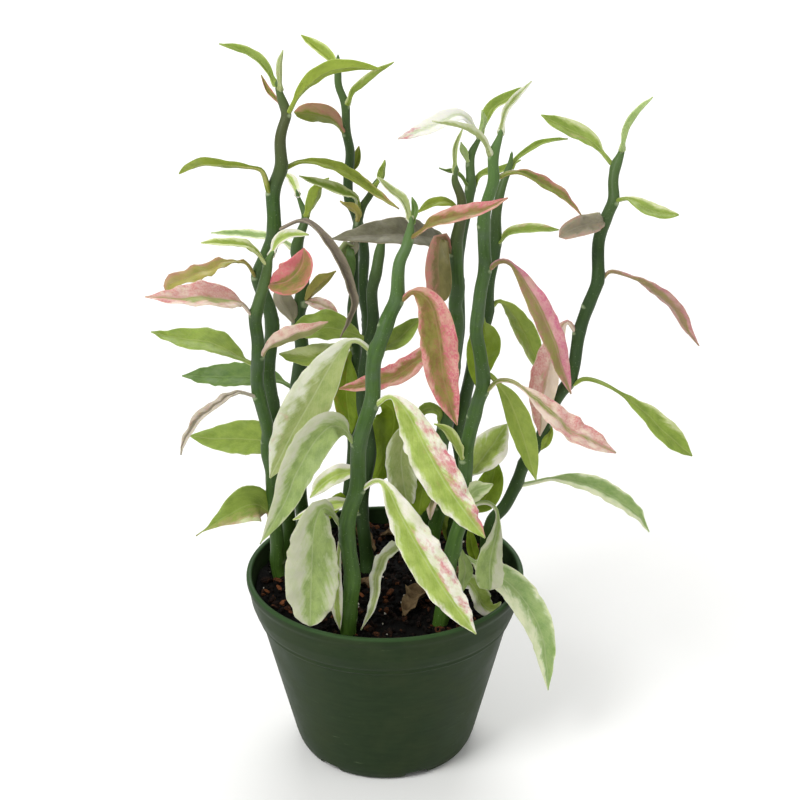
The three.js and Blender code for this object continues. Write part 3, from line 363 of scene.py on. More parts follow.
# Smaller leaves among the stems, too many and too thin for solids of their own.
INNER_LEAVES = {
    "i9": blade("i", "backlit", 4, 5, 0.7, [(482, 572), (475, 558), (471, 543), (469, 527)]),
    "g15": blade("g", "shaded", -1, 6, 0.7, [(456, 548), (462, 556), (465, 570), (462, 592)]),
    "d5": blade("d", "smoky", -5, 7, 0.7, [(358, 240), (352, 246), (341, 256)]),
    "p4": blade("c", "blush", -10, 6, 0.5, [(303, 300), (312, 302), (331, 309), (338, 315)],
        green=(0.2, 0.2), pink=(0.7, 0.7)),
    "c5": blade("c", "tan", -8, 6, 0.6, [(302, 300), (314, 290), (324, 280), (336, 271)]),
    "c6": blade("c", "ash", -6, 9, 0.6, [(299, 322), (289, 312), (282, 300), (277, 285)]),
    "c7": blade("c", "blush", -6, 4, 0.6, [(300, 470), (288, 466), (276, 470), (266, 482)],
        green=(0.2, 0.2)),
    "d2": blade("d", "tan", -6, 4, 0.5, [(366, 222), (357, 212), (340, 201)]),
    "d3": blade("d", "leafy", -4, 4, 0.5, [(376, 186), (381, 178), (385, 160)], fold=45),
    "d4": blade("d", "moss", -8, 7, 0.9, [(355, 256), (349, 246), (346, 256), (352, 281)],
        green=(1.4, (0.1, 0.6, 1.4)), pink=(0, 0.7)),
    "e10": blade("e", "cream", -4, 5.5, 0.8, [(347, 540), (340, 546), (336, 575), (337, 604), (340, 630)],
        green=(0.5, 0.4)),
    "e12": blade("e", "leafy", 10, 8, 0.6, [(378, 352), (388, 346), (401, 337), (412, 326), (421, 318)]),
    "m3": blade("f", "pale", -6, 13, 0.9, [(441, 440), (428, 430), (412, 432), (402, 450), (403, 480),
        (410, 514)], green=(0.65, 0.75), notch=0.04),
    "m4": blade("f", "backlit", -6, 9, 0.9, [(440, 482), (430, 478), (423, 490), (418, 517)]),
    "f6": blade("f", "blush", -8, 4, 0.6, [(440, 505), (434, 500), (431, 508), (430, 520)],
        green=(0.3, 0.3)),
    "f7": blade("f", "lime", 6, 6, 0.7, [(437, 512), (443, 516), (447, 528), (449, 544)]),
    "m6": blade("m", "cream", -10, 8, 0.7, [(366, 478), (352, 472), (338, 475), (324, 483), (310, 498)],
        green=(0.5, 0.5)),
    "m7": blade("m", "cream", -12, 6, 0.6, [(362, 510), (350, 503), (330, 506), (312, 512), (293, 520)],
        green=(0.6, 0.4), pink=(0.4, 0.4)),
    "m8": blade("d", "backlit", -6, 6, 0.8, [(350, 500), (343, 497), (335, 505), (328, 520)]),
    "f5": blade("f", "olive", -8, 5, 0.4, [(460, 214), (452, 204), (435, 203), (417, 213)]),
    "f8": blade("f", "leafy", -6, 5, 0.6, [(445, 424), (438, 412), (430, 408), (422, 412), (417, 424)]),
    "j3": blade("j", "jade", -3, 3, 0.5, [(471, 163), (465, 155), (461, 142)]),
    "j5": blade("j", "green", -4, 3, 0.4, [(470, 186), (459, 175), (439, 168)]),
    "g7": blade("g", "backlit", 14, 13, 0.8, [(478, 318), (483, 322), (484, 340), (480, 362), (476, 386)]),
    "g8": blade("g", "lime", -8, 5, 0.5, [(465, 458), (455, 442), (444, 428), (434, 424)],
        green=(0.7, 0.6)),
    "g10": blade("g", "backlit", 12, 11, 0.9, [(463, 505), (472, 508), (484, 500), (492, 482),
        (497, 460)]),
    "g11": blade("g", "jade", -6, 8, 0.9, [(463, 512), (468, 500), (476, 490), (486, 487), (493, 484)],
        green=(0.4, 0.5), wave=0.9),
    "i8": blade("i", "bright", -4, 4, 0.6, [(546, 422), (550, 428), (547, 440), (541, 450)]),
}

# Dead leaves on the potting mix: from where to where they lie (mm from the pot's middle), how wide they are,
# how high they arch and how far their margins curl up.
DRY_SCRAPS = {
    "front": dict(ends=[(7, -29), (18, -8)], width=11, arch=2.5, curl=0.7),
    "middle": dict(ends=[(-12, -4), (-3, -13)], width=6, arch=1.2, curl=0.6),
    "back": dict(ends=[(-16, 30), (-4, 22)], width=9, arch=3, curl=0.8),
    "side": dict(ends=[(24, 4), (33, -6)], width=7, arch=1.5, curl=0.7),
    "edge": dict(ends=[(-2, 34), (10, 36)], width=7, arch=1.5, curl=0.5),
}

# What lies loose on the mix: how many, their sizes (mm), how flat they are, how far they stand proud, the
# tones they take, and their matter: its name, its dark and light colours and its grain (mm).
CRUMBS = {
    "bark_chips": dict(count=330, sizes=(1.4, 3.8), flatness=(0.35, 0.7), proud=0.2, seed=11,
        tones=(0, 0, 0.1, 0.2, 0.35, 0.5, 0.8), matter=("chopped_pine_bark", "#120a07", "#7a4a2c", 0.9)),
    "peat_crumbs": dict(count=1500, sizes=(0.9, 2.6), flatness=(0.6, 1.0), proud=0.2, seed=12,
        tones=(0, 0, 0.15, 0.3, 0.6), matter=("peat_crumbs", "#050403", "#251812", 0.7)),
    "pale_grit": dict(count=90, sizes=(0.4, 1.1), flatness=(0.7, 1.0), proud=0.5, seed=13,
        tones=(0.3, 0.6, 0.9), matter=("perlite_grit", "#8d8678", "#d8d2c4", 0.4)),
}

# Leaf skins: green middle, its darker marbling, the paler band beside it, the margin, the blush on the margin
# and the underside, and how finely the blush breaks up into dots.
SKINS = {
    "cream": ("#b0c265", "#97ad4e", "#c2cd90", "#e6e2d6", "#c9727e", "#c2c9a0", 0.25),
    "shaded": ("#93a562", "#7d9152", "#a6b183", "#b9baa2", "#b98a86", "#9aa37c", 0.25),
    "pale": ("#9da76a", "#8a9a58", "#b6be92", "#d3d4c2", "#cba09a", "#b2b986", 0.3),
    "jade": ("#a0b574", "#86a25e", "#b8c894", "#dfe3bf", "#cba598", "#aeba7c", 0.3),
    "lime": ("#98aa4c", "#839940", "#b0bb70", "#d0d7a0", "#c0967a", "#8c9c3c", 0.3),
    "leafy": ("#8b9f44", "#788d38", "#a0ad63", "#c8cca0", "#bd9180", "#85953c", 0.4),
    "bright": ("#93a63e", "#839633", "#a8b65c", "#c1cb8a", "#b08a68", "#929f36", 0.4),
    "backlit": ("#7a9120", "#698014", "#8fa33f", "#aab464", "#a4653c", "#869a2a", 0.6),
    "green": ("#66803f", "#547034", "#7d9654", "#a4b07c", "#b89074", "#6e7e38", 0.4),
    "olive": ("#818f2e", "#6f7e26", "#929c42", "#aeaa66", "#b07c62", "#76852a", 0.4),
    "tan": ("#a69a50", "#8f9045", "#ab9562", "#b89878", "#a87c64", "#988f46", 0.5),
    "dusky": ("#746d40", "#625f36", "#877452", "#a6806c", "#b3706c", "#787246", 0.7),
    "smoky": ("#65624d", "#7b7862", "#8a8472", "#b29684", "#b4867c", "#6c6950", 0.8),
    "taupe": ("#7f7863", "#6e6953", "#928876", "#c0b6a6", "#a97e72", "#7a7459", 0.5),
    "blush": ("#929a54", "#7f8c44", "#c1ab92", "#dfcbbc", "#c4787a", "#c0a58a", 0.6),
    "rose": ("#84803a", "#75602f", "#9c8156", "#cf9f92", "#c05a6c", "#a0845c", 0.9),
    "mauve": ("#8a8846", "#8d7a50", "#a98f74", "#c99c98", "#bb6480", "#a88670", 0.7),
    "ripe": ("#808c34", "#6f7c2a", "#a08e5c", "#c3917c", "#b8686c", "#86893c", 0.6),
    "moss": ("#4a632c", "#3f5725", "#62763f", "#8a9468", "#8a5a50", "#4e642f", 0.6),
    "umber": ("#7b7060", "#695f51", "#867b69", "#978b7b", "#8a7468", "#766a5b", 0.7),
    "flame": ("#86803f", "#6f7032", "#c08878", "#d09488", "#cf6672", "#b8707a", 0.3),
    "ash": ("#979079", "#8b846e", "#a29a84", "#b89c8c", "#b9877c", "#8a8370", 0.6),
    "white": ("#d2d7bd", "#c0cba4", "#dee0d0", "#e8e7de", "#c8707c", "#d6d6c8", 0.3),
}


def to_linear(colour):
    """The linear colour of an sRGB hex value."""
    levels = [int(colour[i:i + 2], 16) / 255 for i in (1, 3, 5)]
    return [*(c / 12.92 if c <= 0.04045 else ((c + 0.055) / 1.055) ** 2.4 for c in levels), 1.0]


# The colour sockets of a Mix node: its factor, its two colours and its result.
MIX_SHARE, MIX_A, MIX_B, MIX_OUT = 0, 6, 7, 2


def fill(tree, shader, inputs):
    """Gives a node its inputs, each another node's output, an sRGB hex colour or a value."""
    for key, value in inputs.items():
        if isinstance(value, bpy.types.NodeSocket):
            tree.links.new(value, shader.inputs[key])
        else:
            shader.inputs[key].default_value = to_linear(value) if isinstance(value, str) else value


def add_node(tree, kind, inputs=None, out=0, **settings):
    """Adds a node with its settings and links, and gives one of its outputs."""
    made = tree.nodes.new("ShaderNode" + kind)
    for setting, value in settings.items():
        setattr(made, setting, value)
    fill(tree, made, inputs or {})
    return made.outputs[out]


def stored(tree, title, out="Vector"):
    """A value that a mesh's points carry."""
    return add_node(tree, "Attribute", out=out, attribute_name=title)


def axes(tree, vector, names):
    return [add_node(tree, "SeparateXYZ", {0: vector}, out=name) for name in names]


def cloudy(tree, place, scale, detail, roughness, turn=(0, 0, 0), shift=(0, 0, 0)):
    """Soft noise. Its scale is one over the width of its clouds, alike all round or one for each axis."""
    if isinstance(scale, tuple):
        place = add_node(tree, "Mapping", {0: place, "Scale": scale, "Rotation": turn, "Location": shift})
        scale = 1
    return add_node(tree, "TexNoise", {"Vector": place, "Scale": scale, "Detail": detail,
                                       "Roughness": roughness})


def ramp(tree, value, low, high, start=0.0, end=1.0, clamp=True):
    """Runs from start to end while a value runs from low to high."""
    return add_node(tree, "MapRange", {0: value, 1: low, 2: high, 3: start, 4: end}, clamp=clamp)


def combine(tree, operation, *values, clamp=False):
    return add_node(tree, "Math", dict(enumerate(values)), operation=operation, use_clamp=clamp)


def product(tree, value, *others):
    for other in others:
        value = combine(tree, "MULTIPLY", value, other)
    return value


def paint(tree, colour, *coats):
    """Lays coats over a colour in turn, each a share from 0 to 1 and a colour."""
    for share, coat in coats:
        colour = add_node(tree, "Mix", {MIX_SHARE: share, MIX_A: colour, MIX_B: coat}, out=MIX_OUT,
                          data_type="RGBA")
    return colour


def start_material(name):
    material = bpy.data.materials.new(name)
    material.use_nodes = True
    return material, material.node_tree


def finish_material(material, colour, roughness, relief, strength, depth, more):
    """Joins a colour, a roughness, a relief of a depth in mm and more inputs to the surface."""
    tree = material.node_tree
    bumps = add_node(tree, "Bump", {"Strength": strength, "Distance": depth * MM, "Height": relief})
    fill(tree, tree.nodes["Principled BSDF"], {"Base Color": colour, "Roughness": roughness, "Normal": bumps,
                                               **more})
    return material


def waxy_leaf(name, middle, marbling, band, margin, blush, under, speckle):
    """Succulent leaf, grown with a waxy skin: a cloudy green middle that runs out in soft streaks along the
    side veins, a paler band, a cream margin washed with green and pink, and a low waxy shine. The pink is
    solid where speckle is 0 and breaks up into fine dots where it is 1."""
    material, tree = start_material("waxy_leaf_" + name)
    place, share, tone, vein = (stored(tree, title) for title in ("leaf_mm", "leaf_share", "leaf_tone",
                                                                  "leaf_vein"))
    outward, top_face = axes(tree, share, "YZ")
    green_part, pinkness, brownness = axes(tree, tone, "XYZ")
    along_vein, outward_mm = axes(tree, vein, "XY")

    # Streaks 2.4 mm apart that follow the side veins, blotches of 7 by 4.5 mm and mottling of 0.7 mm shift
    # the border of the green middle. Clouds of 5 by 3 mm marble it, grained by the mottling.
    streaks = cloudy(tree, vein, (1 / 2.4, 1 / 14, 1), 3, 0.6)
    blotches = cloudy(tree, place, (1 / 7, 1 / 4.5, 1), 3, 0.55)
    mottling = cloudy(tree, place, 1 / 0.7, 3, 0.7)
    clouds = cloudy(tree, place, (1 / 5, 1 / 3, 1), 4, 0.6, shift=(5, 2, 8))
    past_green = combine(tree, "SUBTRACT", outward, green_part)
    for pattern, reach in ((streaks, 0.11), (blotches, 0.22), (mottling, 0.04)):
        shift = ramp(tree, pattern, 0.3, 0.7, -reach, reach, clamp=False)
        past_green = combine(tree, "ADD", past_green, shift)
    in_band = ramp(tree, past_green, -0.14, 0.02)
    in_margin = ramp(tree, past_green, 0.02, 0.2)
    grained = combine(tree, "ADD", clouds, ramp(tree, mottling, 0.3, 0.7, -0.06, 0.06, clamp=False))
    edge_colour = paint(tree, margin, (ramp(tree, clouds, 0.42, 0.7, 0.0, 0.55), band))

    # Pink lies in patches of 4.5 by 2.8 mm that widen as it gets stronger, broken up by the mottling.
    patches = cloudy(tree, place, (1 / 4.5, 1 / 2.8, 1), 4, 0.68, shift=(3, 9, 4))
    in_patch = ramp(tree, combine(tree, "MULTIPLY_ADD", pinkness, 0.45, patches), 0.78, 0.96)
    mottled = ramp(tree, mottling, 0.4, 0.6, 1 - 0.8 * speckle, 1 + 0.1 * speckle)
    to_edge = ramp(tree, outward, 0.3, 1.0, 0.7, 1.1)
    strength = ramp(tree, pinkness, 0, 0.6, 0.3)
    pink_share = combine(tree, "MULTIPLY", product(tree, in_patch, mottled, to_edge), strength, clamp=True)
    pink_share = product(tree, pink_share, ramp(tree, in_band, 0, 1, 0.45))

    # The midrib is a pale line and each side vein a fainter one. The rim is a painted highlight, a pale edge
    # where light catches the thick upturned margin. The tip may be brown.
    midrib = ramp(tree, outward_mm, 0.1, 0.4, 0.5, 0.0)
    side_vein = ramp(tree, combine(tree, "PINGPONG", along_vein, VEIN_GAP / 2), 0.0, 0.25, 0.2, 0.0)
    lines = combine(tree, "MAXIMUM", midrib, side_vein)
    rim = ramp(tree, outward, 0.93, 0.99, 0.0, 0.5)
    underneath = ramp(tree, top_face, 0, 1, 0.25, 0.0)
    brown_share = product(tree, ramp(tree, clouds, 0.42, 0.58), brownness)
    colour = paint(tree, middle, (ramp(tree, grained, 0.38, 0.66), marbling), (in_band, band),
                   (in_margin, edge_colour), (pink_share, blush), (lines, band), (rim, edge_colour),
                   (underneath, under), (brown_share, "#8a6842"))

    # Skin relief: sunken veins, fine pebbling and the streaks.
    relief = combine(tree, "MULTIPLY", lines, -0.8)
    relief = combine(tree, "MULTIPLY_ADD", mottling, 0.3, relief)
    relief = combine(tree, "MULTIPLY_ADD", streaks, 0.6, relief)
    return finish_material(material, colour, ramp(tree, mottling, 0.3, 0.7, 0.4, 0.55), relief, 0.7, 0.3,
                           {"IOR": 1.42, "Specular IOR Level": 0.32, "Subsurface Weight": 0.25,
                            "Subsurface Radius": (0.8, 1.0, 0.35), "Subsurface Scale": 1.0 * MM})


def waxy_stem(name, young_tinge, painted_shade_share):
    """Succulent stem, grown with a waxy skin: dark green, under a grey-green bloom higher up and paler at the
    young top, with fine lengthwise lines, pale specks and whitish scars where leaves fell. The top turns
    purple where young_tinge is high. Stems that stand back in the shade of the others get painted shade: the
    whole skin is darker by their share of it."""
    material, tree = start_material(name)
    place = stored(tree, "stem_mm")
    scar, height = axes(tree, stored(tree, "stem_tone"), "XY")
    lines = cloudy(tree, place, (1 / 0.5, 1 / 14, 1), 4, 0.6)
    clouds = cloudy(tree, place, 1 / 7, 3, 0.6)
    specks = add_node(tree, "TexVoronoi", {"Vector": place, "Scale": 1 / 1.1})
    bloom = product(tree, ramp(tree, height, 0.15, 0.6, 0.1), ramp(tree, clouds, 0.4, 0.7, 0.2, 0.75))
    young = ramp(tree, height, 0.8, 1.0, 0.0, 0.6)
    below_top = ramp(tree, height, 0.94, 1.0, 1.0, 0.2)
    tinge = product(tree, ramp(tree, height, 0.8, 0.9, 0.0, young_tinge), below_top)
    speck_share = ramp(tree, specks, 0.08, 0.16, 0.45, 0.0)
    scar_share = ramp(tree, scar, 0.35, 0.8, 0.0, 0.8)
    # Stems standing back among the others get painted shade: their skin is mixed towards dark green by their
    # share of it.
    colour = paint(tree, "#365417", (ramp(tree, lines, 0.35, 0.68), "#4b6b26"), (bloom, "#50634a"),
                   (painted_shade_share, "#22341b"), (young, "#66844a"), (tinge, "#4a3a2c"), (speck_share, "#8ea27a"),
                   (scar_share, "#9fae86"))
    relief = combine(tree, "MULTIPLY_ADD", speck_share, 0.6, lines)
    return finish_material(material, colour, ramp(tree, clouds, 0.3, 0.7, 0.36, 0.5), relief, 0.25, 0.1,
                           {"IOR": 1.4, "Specular IOR Level": 0.28})


def moulded_polypropylene():
    """Polypropylene, injection moulded: dark green with a satin shine, faint flow lines round the wall,
    rubbed pale scratches, a painted highlight on the lip where light falls on its top, and a little dust
    and dried soil."""
    material, tree = start_material("moulded_polypropylene")
    place = add_node(tree, "TexCoord", out="Object")
    height, = axes(tree, place, "Z")

    # Flow lines 8 mm long and 1.4 mm apart, dust clouds of 18 mm, scratches of 11 by 2 mm and crumbs 1.6 mm
    # apart. The scales say how many there are to the metre.
    flow = cloudy(tree, place, (120, 120, 700), 4, 0.6)
    dust = cloudy(tree, place, 55, 5, 0.65)
    scratches = cloudy(tree, place, (90, 90, 520), 6, 0.75, turn=(0.25, 0.1, 0))
    crumbs = add_node(tree, "TexVoronoi", {"Vector": place, "Scale": 620})
    dust_share = ramp(tree, dust, 0.45, 0.75, 0.0, 0.35)
    scratch_share = ramp(tree, scratches, 0.64, 0.72, 0.0, 0.5)
    near_rim = ramp(tree, height, (POT_HEIGHT - 7) * MM, POT_HEIGHT * MM)
    crumb_share = product(tree, ramp(tree, crumbs, 0.12, 0.2, 0.8, 0.0), near_rim, dust_share)
    # A painted highlight: the lip's top is lighter green where light falls on it from above.
    lip_highlight = ramp(tree, height, (POT_HEIGHT - 1.1) * MM, (POT_HEIGHT - 0.4) * MM, 0.0, 0.75)
    colour = paint(tree, "#22311a", (ramp(tree, flow, 0.35, 0.7), "#27371e"), (dust_share, "#40482f"),
                   (scratch_share, "#5b684c"), (crumb_share, "#2a1d15"), (lip_highlight, "#35502c"))
    relief = combine(tree, "MULTIPLY_ADD", scratches, 0.5, flow)
    return finish_material(material, colour, ramp(tree, dust, 0.35, 0.7, 0.42, 0.62), relief, 0.18, 0.1,
                           {"IOR": 1.49, "Specular IOR Level": 0.1})


def loose_matter(name, dark, light, grain):
    """Something dug, chopped or dried, such as peat, bark or a fallen leaf: matt, with a grain in mm and a
    tone of its own for each piece."""
    material, tree = start_material(name)
    grains = cloudy(tree, add_node(tree, "TexCoord", out="Object"), 1 / (grain * MM), 5, 0.7)
    share = combine(tree, "ADD", ramp(tree, grains, 0.35, 0.7, -0.3, 0.3, clamp=False),
                    stored(tree, "lump_tone", "Fac"), clamp=True)
    return finish_material(material, paint(tree, dark, (share, light)), 0.9, grains, 0.8, 0.5 * grain,
                           {"Specular IOR Level": 0.12})


def painted_board():
    """Smooth board, rolled with matt white paint: almost even, with the faintest clouds."""
    material, tree = start_material("matt_painted_board")
    clouds = add_node(tree, "TexNoise", {"Scale": 3, "Detail": 3})
    fill(tree, tree.nodes["Principled BSDF"], {"Base Color": paint(tree, "#f4f4f2", (clouds, "#f0f0ee")),
                                               "Roughness": 0.9})
    return material


def unit(vectors):
    return vectors / np.linalg.norm(vectors, axis=-1, keepdims=True)


def smooth_step(low, high, value):
    share = np.clip((value - low) / (high - low), 0, 1)
    return share * share * (3 - 2 * share)


def hump(offset, width):
    """A smooth rise that is 1 where the offset is 0."""
    return np.exp(-(offset / width) ** 2)


def run_along(points):
    """How far along a line each of its points lies."""
    steps = np.linalg.norm(np.diff(np.asarray(points, float), axis=0), axis=1)
    return np.concatenate([[0], np.cumsum(steps)])


class Path:
    """A smooth line through given points, read by the share of its length from 0 to 1."""

    def __init__(self, points):
        points = np.asarray(points, float)
        before = [2 * points[0] - points[1], *points[:-2]]
        after = [*points[2:], 2 * points[-1] - points[-2]]
        turn = np.linspace(0, 1, 24, endpoint=False)[:, None]
        dense = [0.5 * (2 * b + (c - a) * turn + (2 * a - 5 * b + 4 * c - d) * turn ** 2
                        + (3 * b - a - 3 * c + d) * turn ** 3)
                 for a, b, c, d in zip(before, points[:-1], points[1:], after)]
        self.points = np.vstack([*dense, points[-1:]])
        run = run_along(self.points)
        self.length = run[-1]
        self.shares = run / run[-1]

    def at(self, shares):
        return np.stack([np.interp(shares, self.shares, self.points[:, i]) for i in range(3)], axis=-1)

    def heading(self, shares):
        reach = 0.012
        ahead, behind = (self.at(np.clip(np.asarray(shares) + way, 0, 1)) for way in (reach, -reach))
        return unit(ahead - behind)


def from_photo(photo, depth):
    """The points seen at places in the photograph, each at its depth behind the pot's middle."""
    photo = np.asarray(photo, float)
    ray = (VIEW_FORWARD + np.outer((photo[:, 0] - FRAME_CENTRE) / FOCAL, VIEW_RIGHT)
           + np.outer((FRAME_CENTRE - photo[:, 1]) / FOCAL, VIEW_UP))
    return EYE + ray * ((depth - EYE[1]) / ray[:, 1])[:, None]


def to_photo(points):
    seen = points - EYE
    away = seen @ VIEW_FORWARD
    return np.stack([FRAME_CENTRE + FOCAL * seen @ VIEW_RIGHT / away,
                     FRAME_CENTRE - FOCAL * seen @ VIEW_UP / away], axis=-1)


def photo_shares(photo):
    """How far along its photographed path each point lies, from 0 to 1."""
    run = run_along(photo)
    return run / run[-1]


def stem_path(stem):
    """A stem's middle from its foot in the mix to its tip, with its zigzag corners a little eased."""
    climb = stem["photo"][::-1]
    share = photo_shares(climb)
    base_depth, tip_depth = stem["depth"]
    depth = (base_depth + (tip_depth - base_depth) * share + stem["bow"] * np.sin(share * math.pi)
             + STEM_ZIGZAG * np.sin(share * STEM_NODES * math.pi))
    points = from_photo(climb, depth)
    foot = points[0] * ROOT_SHRINK
    foot[2] = points[0][2] - ROOT_DEPTH
    rough = Path([foot, *points])
    even = rough.at(np.linspace(0, 1, round(rough.length)))
    weights = np.hanning(STEM_EASING + 2)[1:-1]
    eased = even.copy()
    edge = STEM_EASING // 2
    for i in range(3):
        eased[edge:-edge, i] = np.convolve(even[:, i], weights / weights.sum(), "valid")
    return Path(eased)


def stem_radius(stem, share):
    """A stem thins a little up to its shoulder and faster through its young top."""
    base, shoulder, tip = stem["across"]
    across = base + (shoulder - base) * np.minimum(share / STEM_SHOULDER, 1)
    return (across + (tip - shoulder) * smooth_step(STEM_SHOULDER, 1, share)) / 2


def midrib_path(leaf, stem):
    """A leaf's midrib from the heart of its stem, the share of the stem's height that it grows at, and the
    way it sets out."""
    path = stem["path"]
    shares = np.linspace(0, 1, 600)
    miss = np.linalg.norm(to_photo(path.at(shares)) - np.array(leaf["photo"][0], float), axis=1)
    at = shares[int(np.argmin(miss))]
    heart = path.at(at)
    share = photo_shares(leaf["photo"])
    points = from_photo(leaf["photo"], heart[1] + leaf["back"] * (1 - (1 - share) ** 2))
    outward = points[1] - heart
    tangent = path.heading(at)
    outward = unit(outward - (outward @ tangent) * tangent)
    skin = heart + outward * stem_radius(stem, at) * 0.8
    return Path([heart, skin, *points[1:]]), at, outward


def half_width(leaf, share):
    """Half a leaf's width along it: a narrow petiole, then a lance-shaped blade drawn out to a point."""
    along = np.clip((share - leaf["petiole"]) / (1 - leaf["petiole"]), 0, 1)
    rise, fall = leaf["rise"], leaf["fall"]
    peak = rise / (rise + fall)
    fullest = peak ** rise * (1 - peak) ** fall
    stalk = (leaf["stalk"] + (TIP_WIDTH - leaf["stalk"]) * smooth_step(0, 0.8, share)) / 2
    return np.maximum(stalk, leaf["width"] / 2 * along ** rise * (1 - along) ** fall / fullest)


def along_leaf(value, share):
    """A value that is either the same along a leaf or changes through a row of values from base to tip."""
    row = np.atleast_1d(value)
    return np.interp(share, np.linspace(0, 1, len(row)), row)


def swellings(mm, across_mm, dice):
    """Low uneven swellings of a leaf's face, about 1 high at most."""
    height = 0
    for _ in range(SWELLING_COUNT):
        length = dice.uniform(*SWELLING_SPACING)
        angle = dice.uniform(-1.1, 1.1)
        run = mm * math.cos(angle) + across_mm * math.sin(angle)
        height = height + np.sin(FULL_TURN * run / length + dice.uniform(0, 6.28))
    return height / SWELLING_COUNT


def across_blade(leaf, path, shares):
    """The direction from margin to margin: level across the heading, or turned to the viewer with whichever
    face already shows more."""
    def across_picture(places):
        return unit(np.cross(path.heading(places), path.at(places) - EYE))

    heading = path.at(1.0) - path.at(0.0)
    heading[2] = 0
    level = np.cross([0, 0, 1], unit(heading))
    shown = across_picture(np.array([0.2, 0.5, 0.8])) @ level
    side = level + (across_picture(shares) * np.sign(shown.sum()) - level) * leaf["turned"]
    tangent = path.heading(shares)
    return unit(side - (side * tangent).sum(axis=-1, keepdims=True) * tangent)


def round_section(columns):
    """Once round a blade's section: how far across each point lies (-1 to 1) and on which face (1 is on top,
    -1 underneath and 0 on a margin)."""
    spread = -np.cos(np.linspace(0, math.pi, columns))
    face = np.concatenate([np.ones(columns), -np.ones(columns - 2)])
    face[[0, columns - 1]] = 0
    return np.concatenate([spread, spread[-2:0:-1]]), face


def place_object(name, data):
    placed = bpy.data.objects.new(name, data)
    bpy.context.scene.collection.objects.link(placed)
    return placed


def new_mesh(name, points, faces):
    """A mesh of points in mm."""
    mesh = bpy.data.meshes.new(name)
    mesh.from_pydata((np.array(points, float) * MM).tolist(), [], faces)
    return mesh


def ring_mesh(name, rings):
    """A mesh over rings of points, closed at both ends."""
    count, sides = rings.shape[:2]
    points = np.vstack([rings.reshape(-1, 3), rings[0].mean(axis=0), rings[-1].mean(axis=0)])
    this = np.arange(sides)
    after = (this + 1) % sides
    rows = np.arange(count - 1)[:, None] * sides
    quads = np.stack([rows + this, rows + after, rows + sides + after, rows + sides + this],
                     axis=-1).reshape(-1, 4)
    first, last = count * sides, count * sides + 1
    top_row = (count - 1) * sides
    faces = quads.tolist() + [[first, b, a] for a, b in zip(this.tolist(), after.tolist())]
    faces += [[last, top_row + a, top_row + b] for a, b in zip(this.tolist(), after.tolist())]
    corners = points[quads]
    volume = (corners[:, 0] * np.cross(corners[:, 1], corners[:, 2])
              + corners[:, 0] * np.cross(corners[:, 2], corners[:, 3])).sum()
    if volume < 0:
        faces = [face[::-1] for face in faces]
    return new_mesh(name, points, faces)


def closed_skin(name, rings, attributes, material):
    """A smooth piece over rings of points, with a value of each attribute at each point."""
    mesh = ring_mesh(name, rings)
    mesh.shade_smooth()
    for title, values in attributes.items():
        layer = mesh.attributes.new(title, "FLOAT_VECTOR", "POINT")
        ends = [values[0].mean(axis=0), values[-1].mean(axis=0)]
        row = np.vstack([values.reshape(-1, 3), ends])
        layer.data.foreach_set("vector", row.astype(np.float32).ravel())
    mesh.materials.append(material)
    return place_object(name, mesh)


def finish_piece(piece, slot, *nodes):
    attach(piece, "root")
    if nodes:
        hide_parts(*nodes)


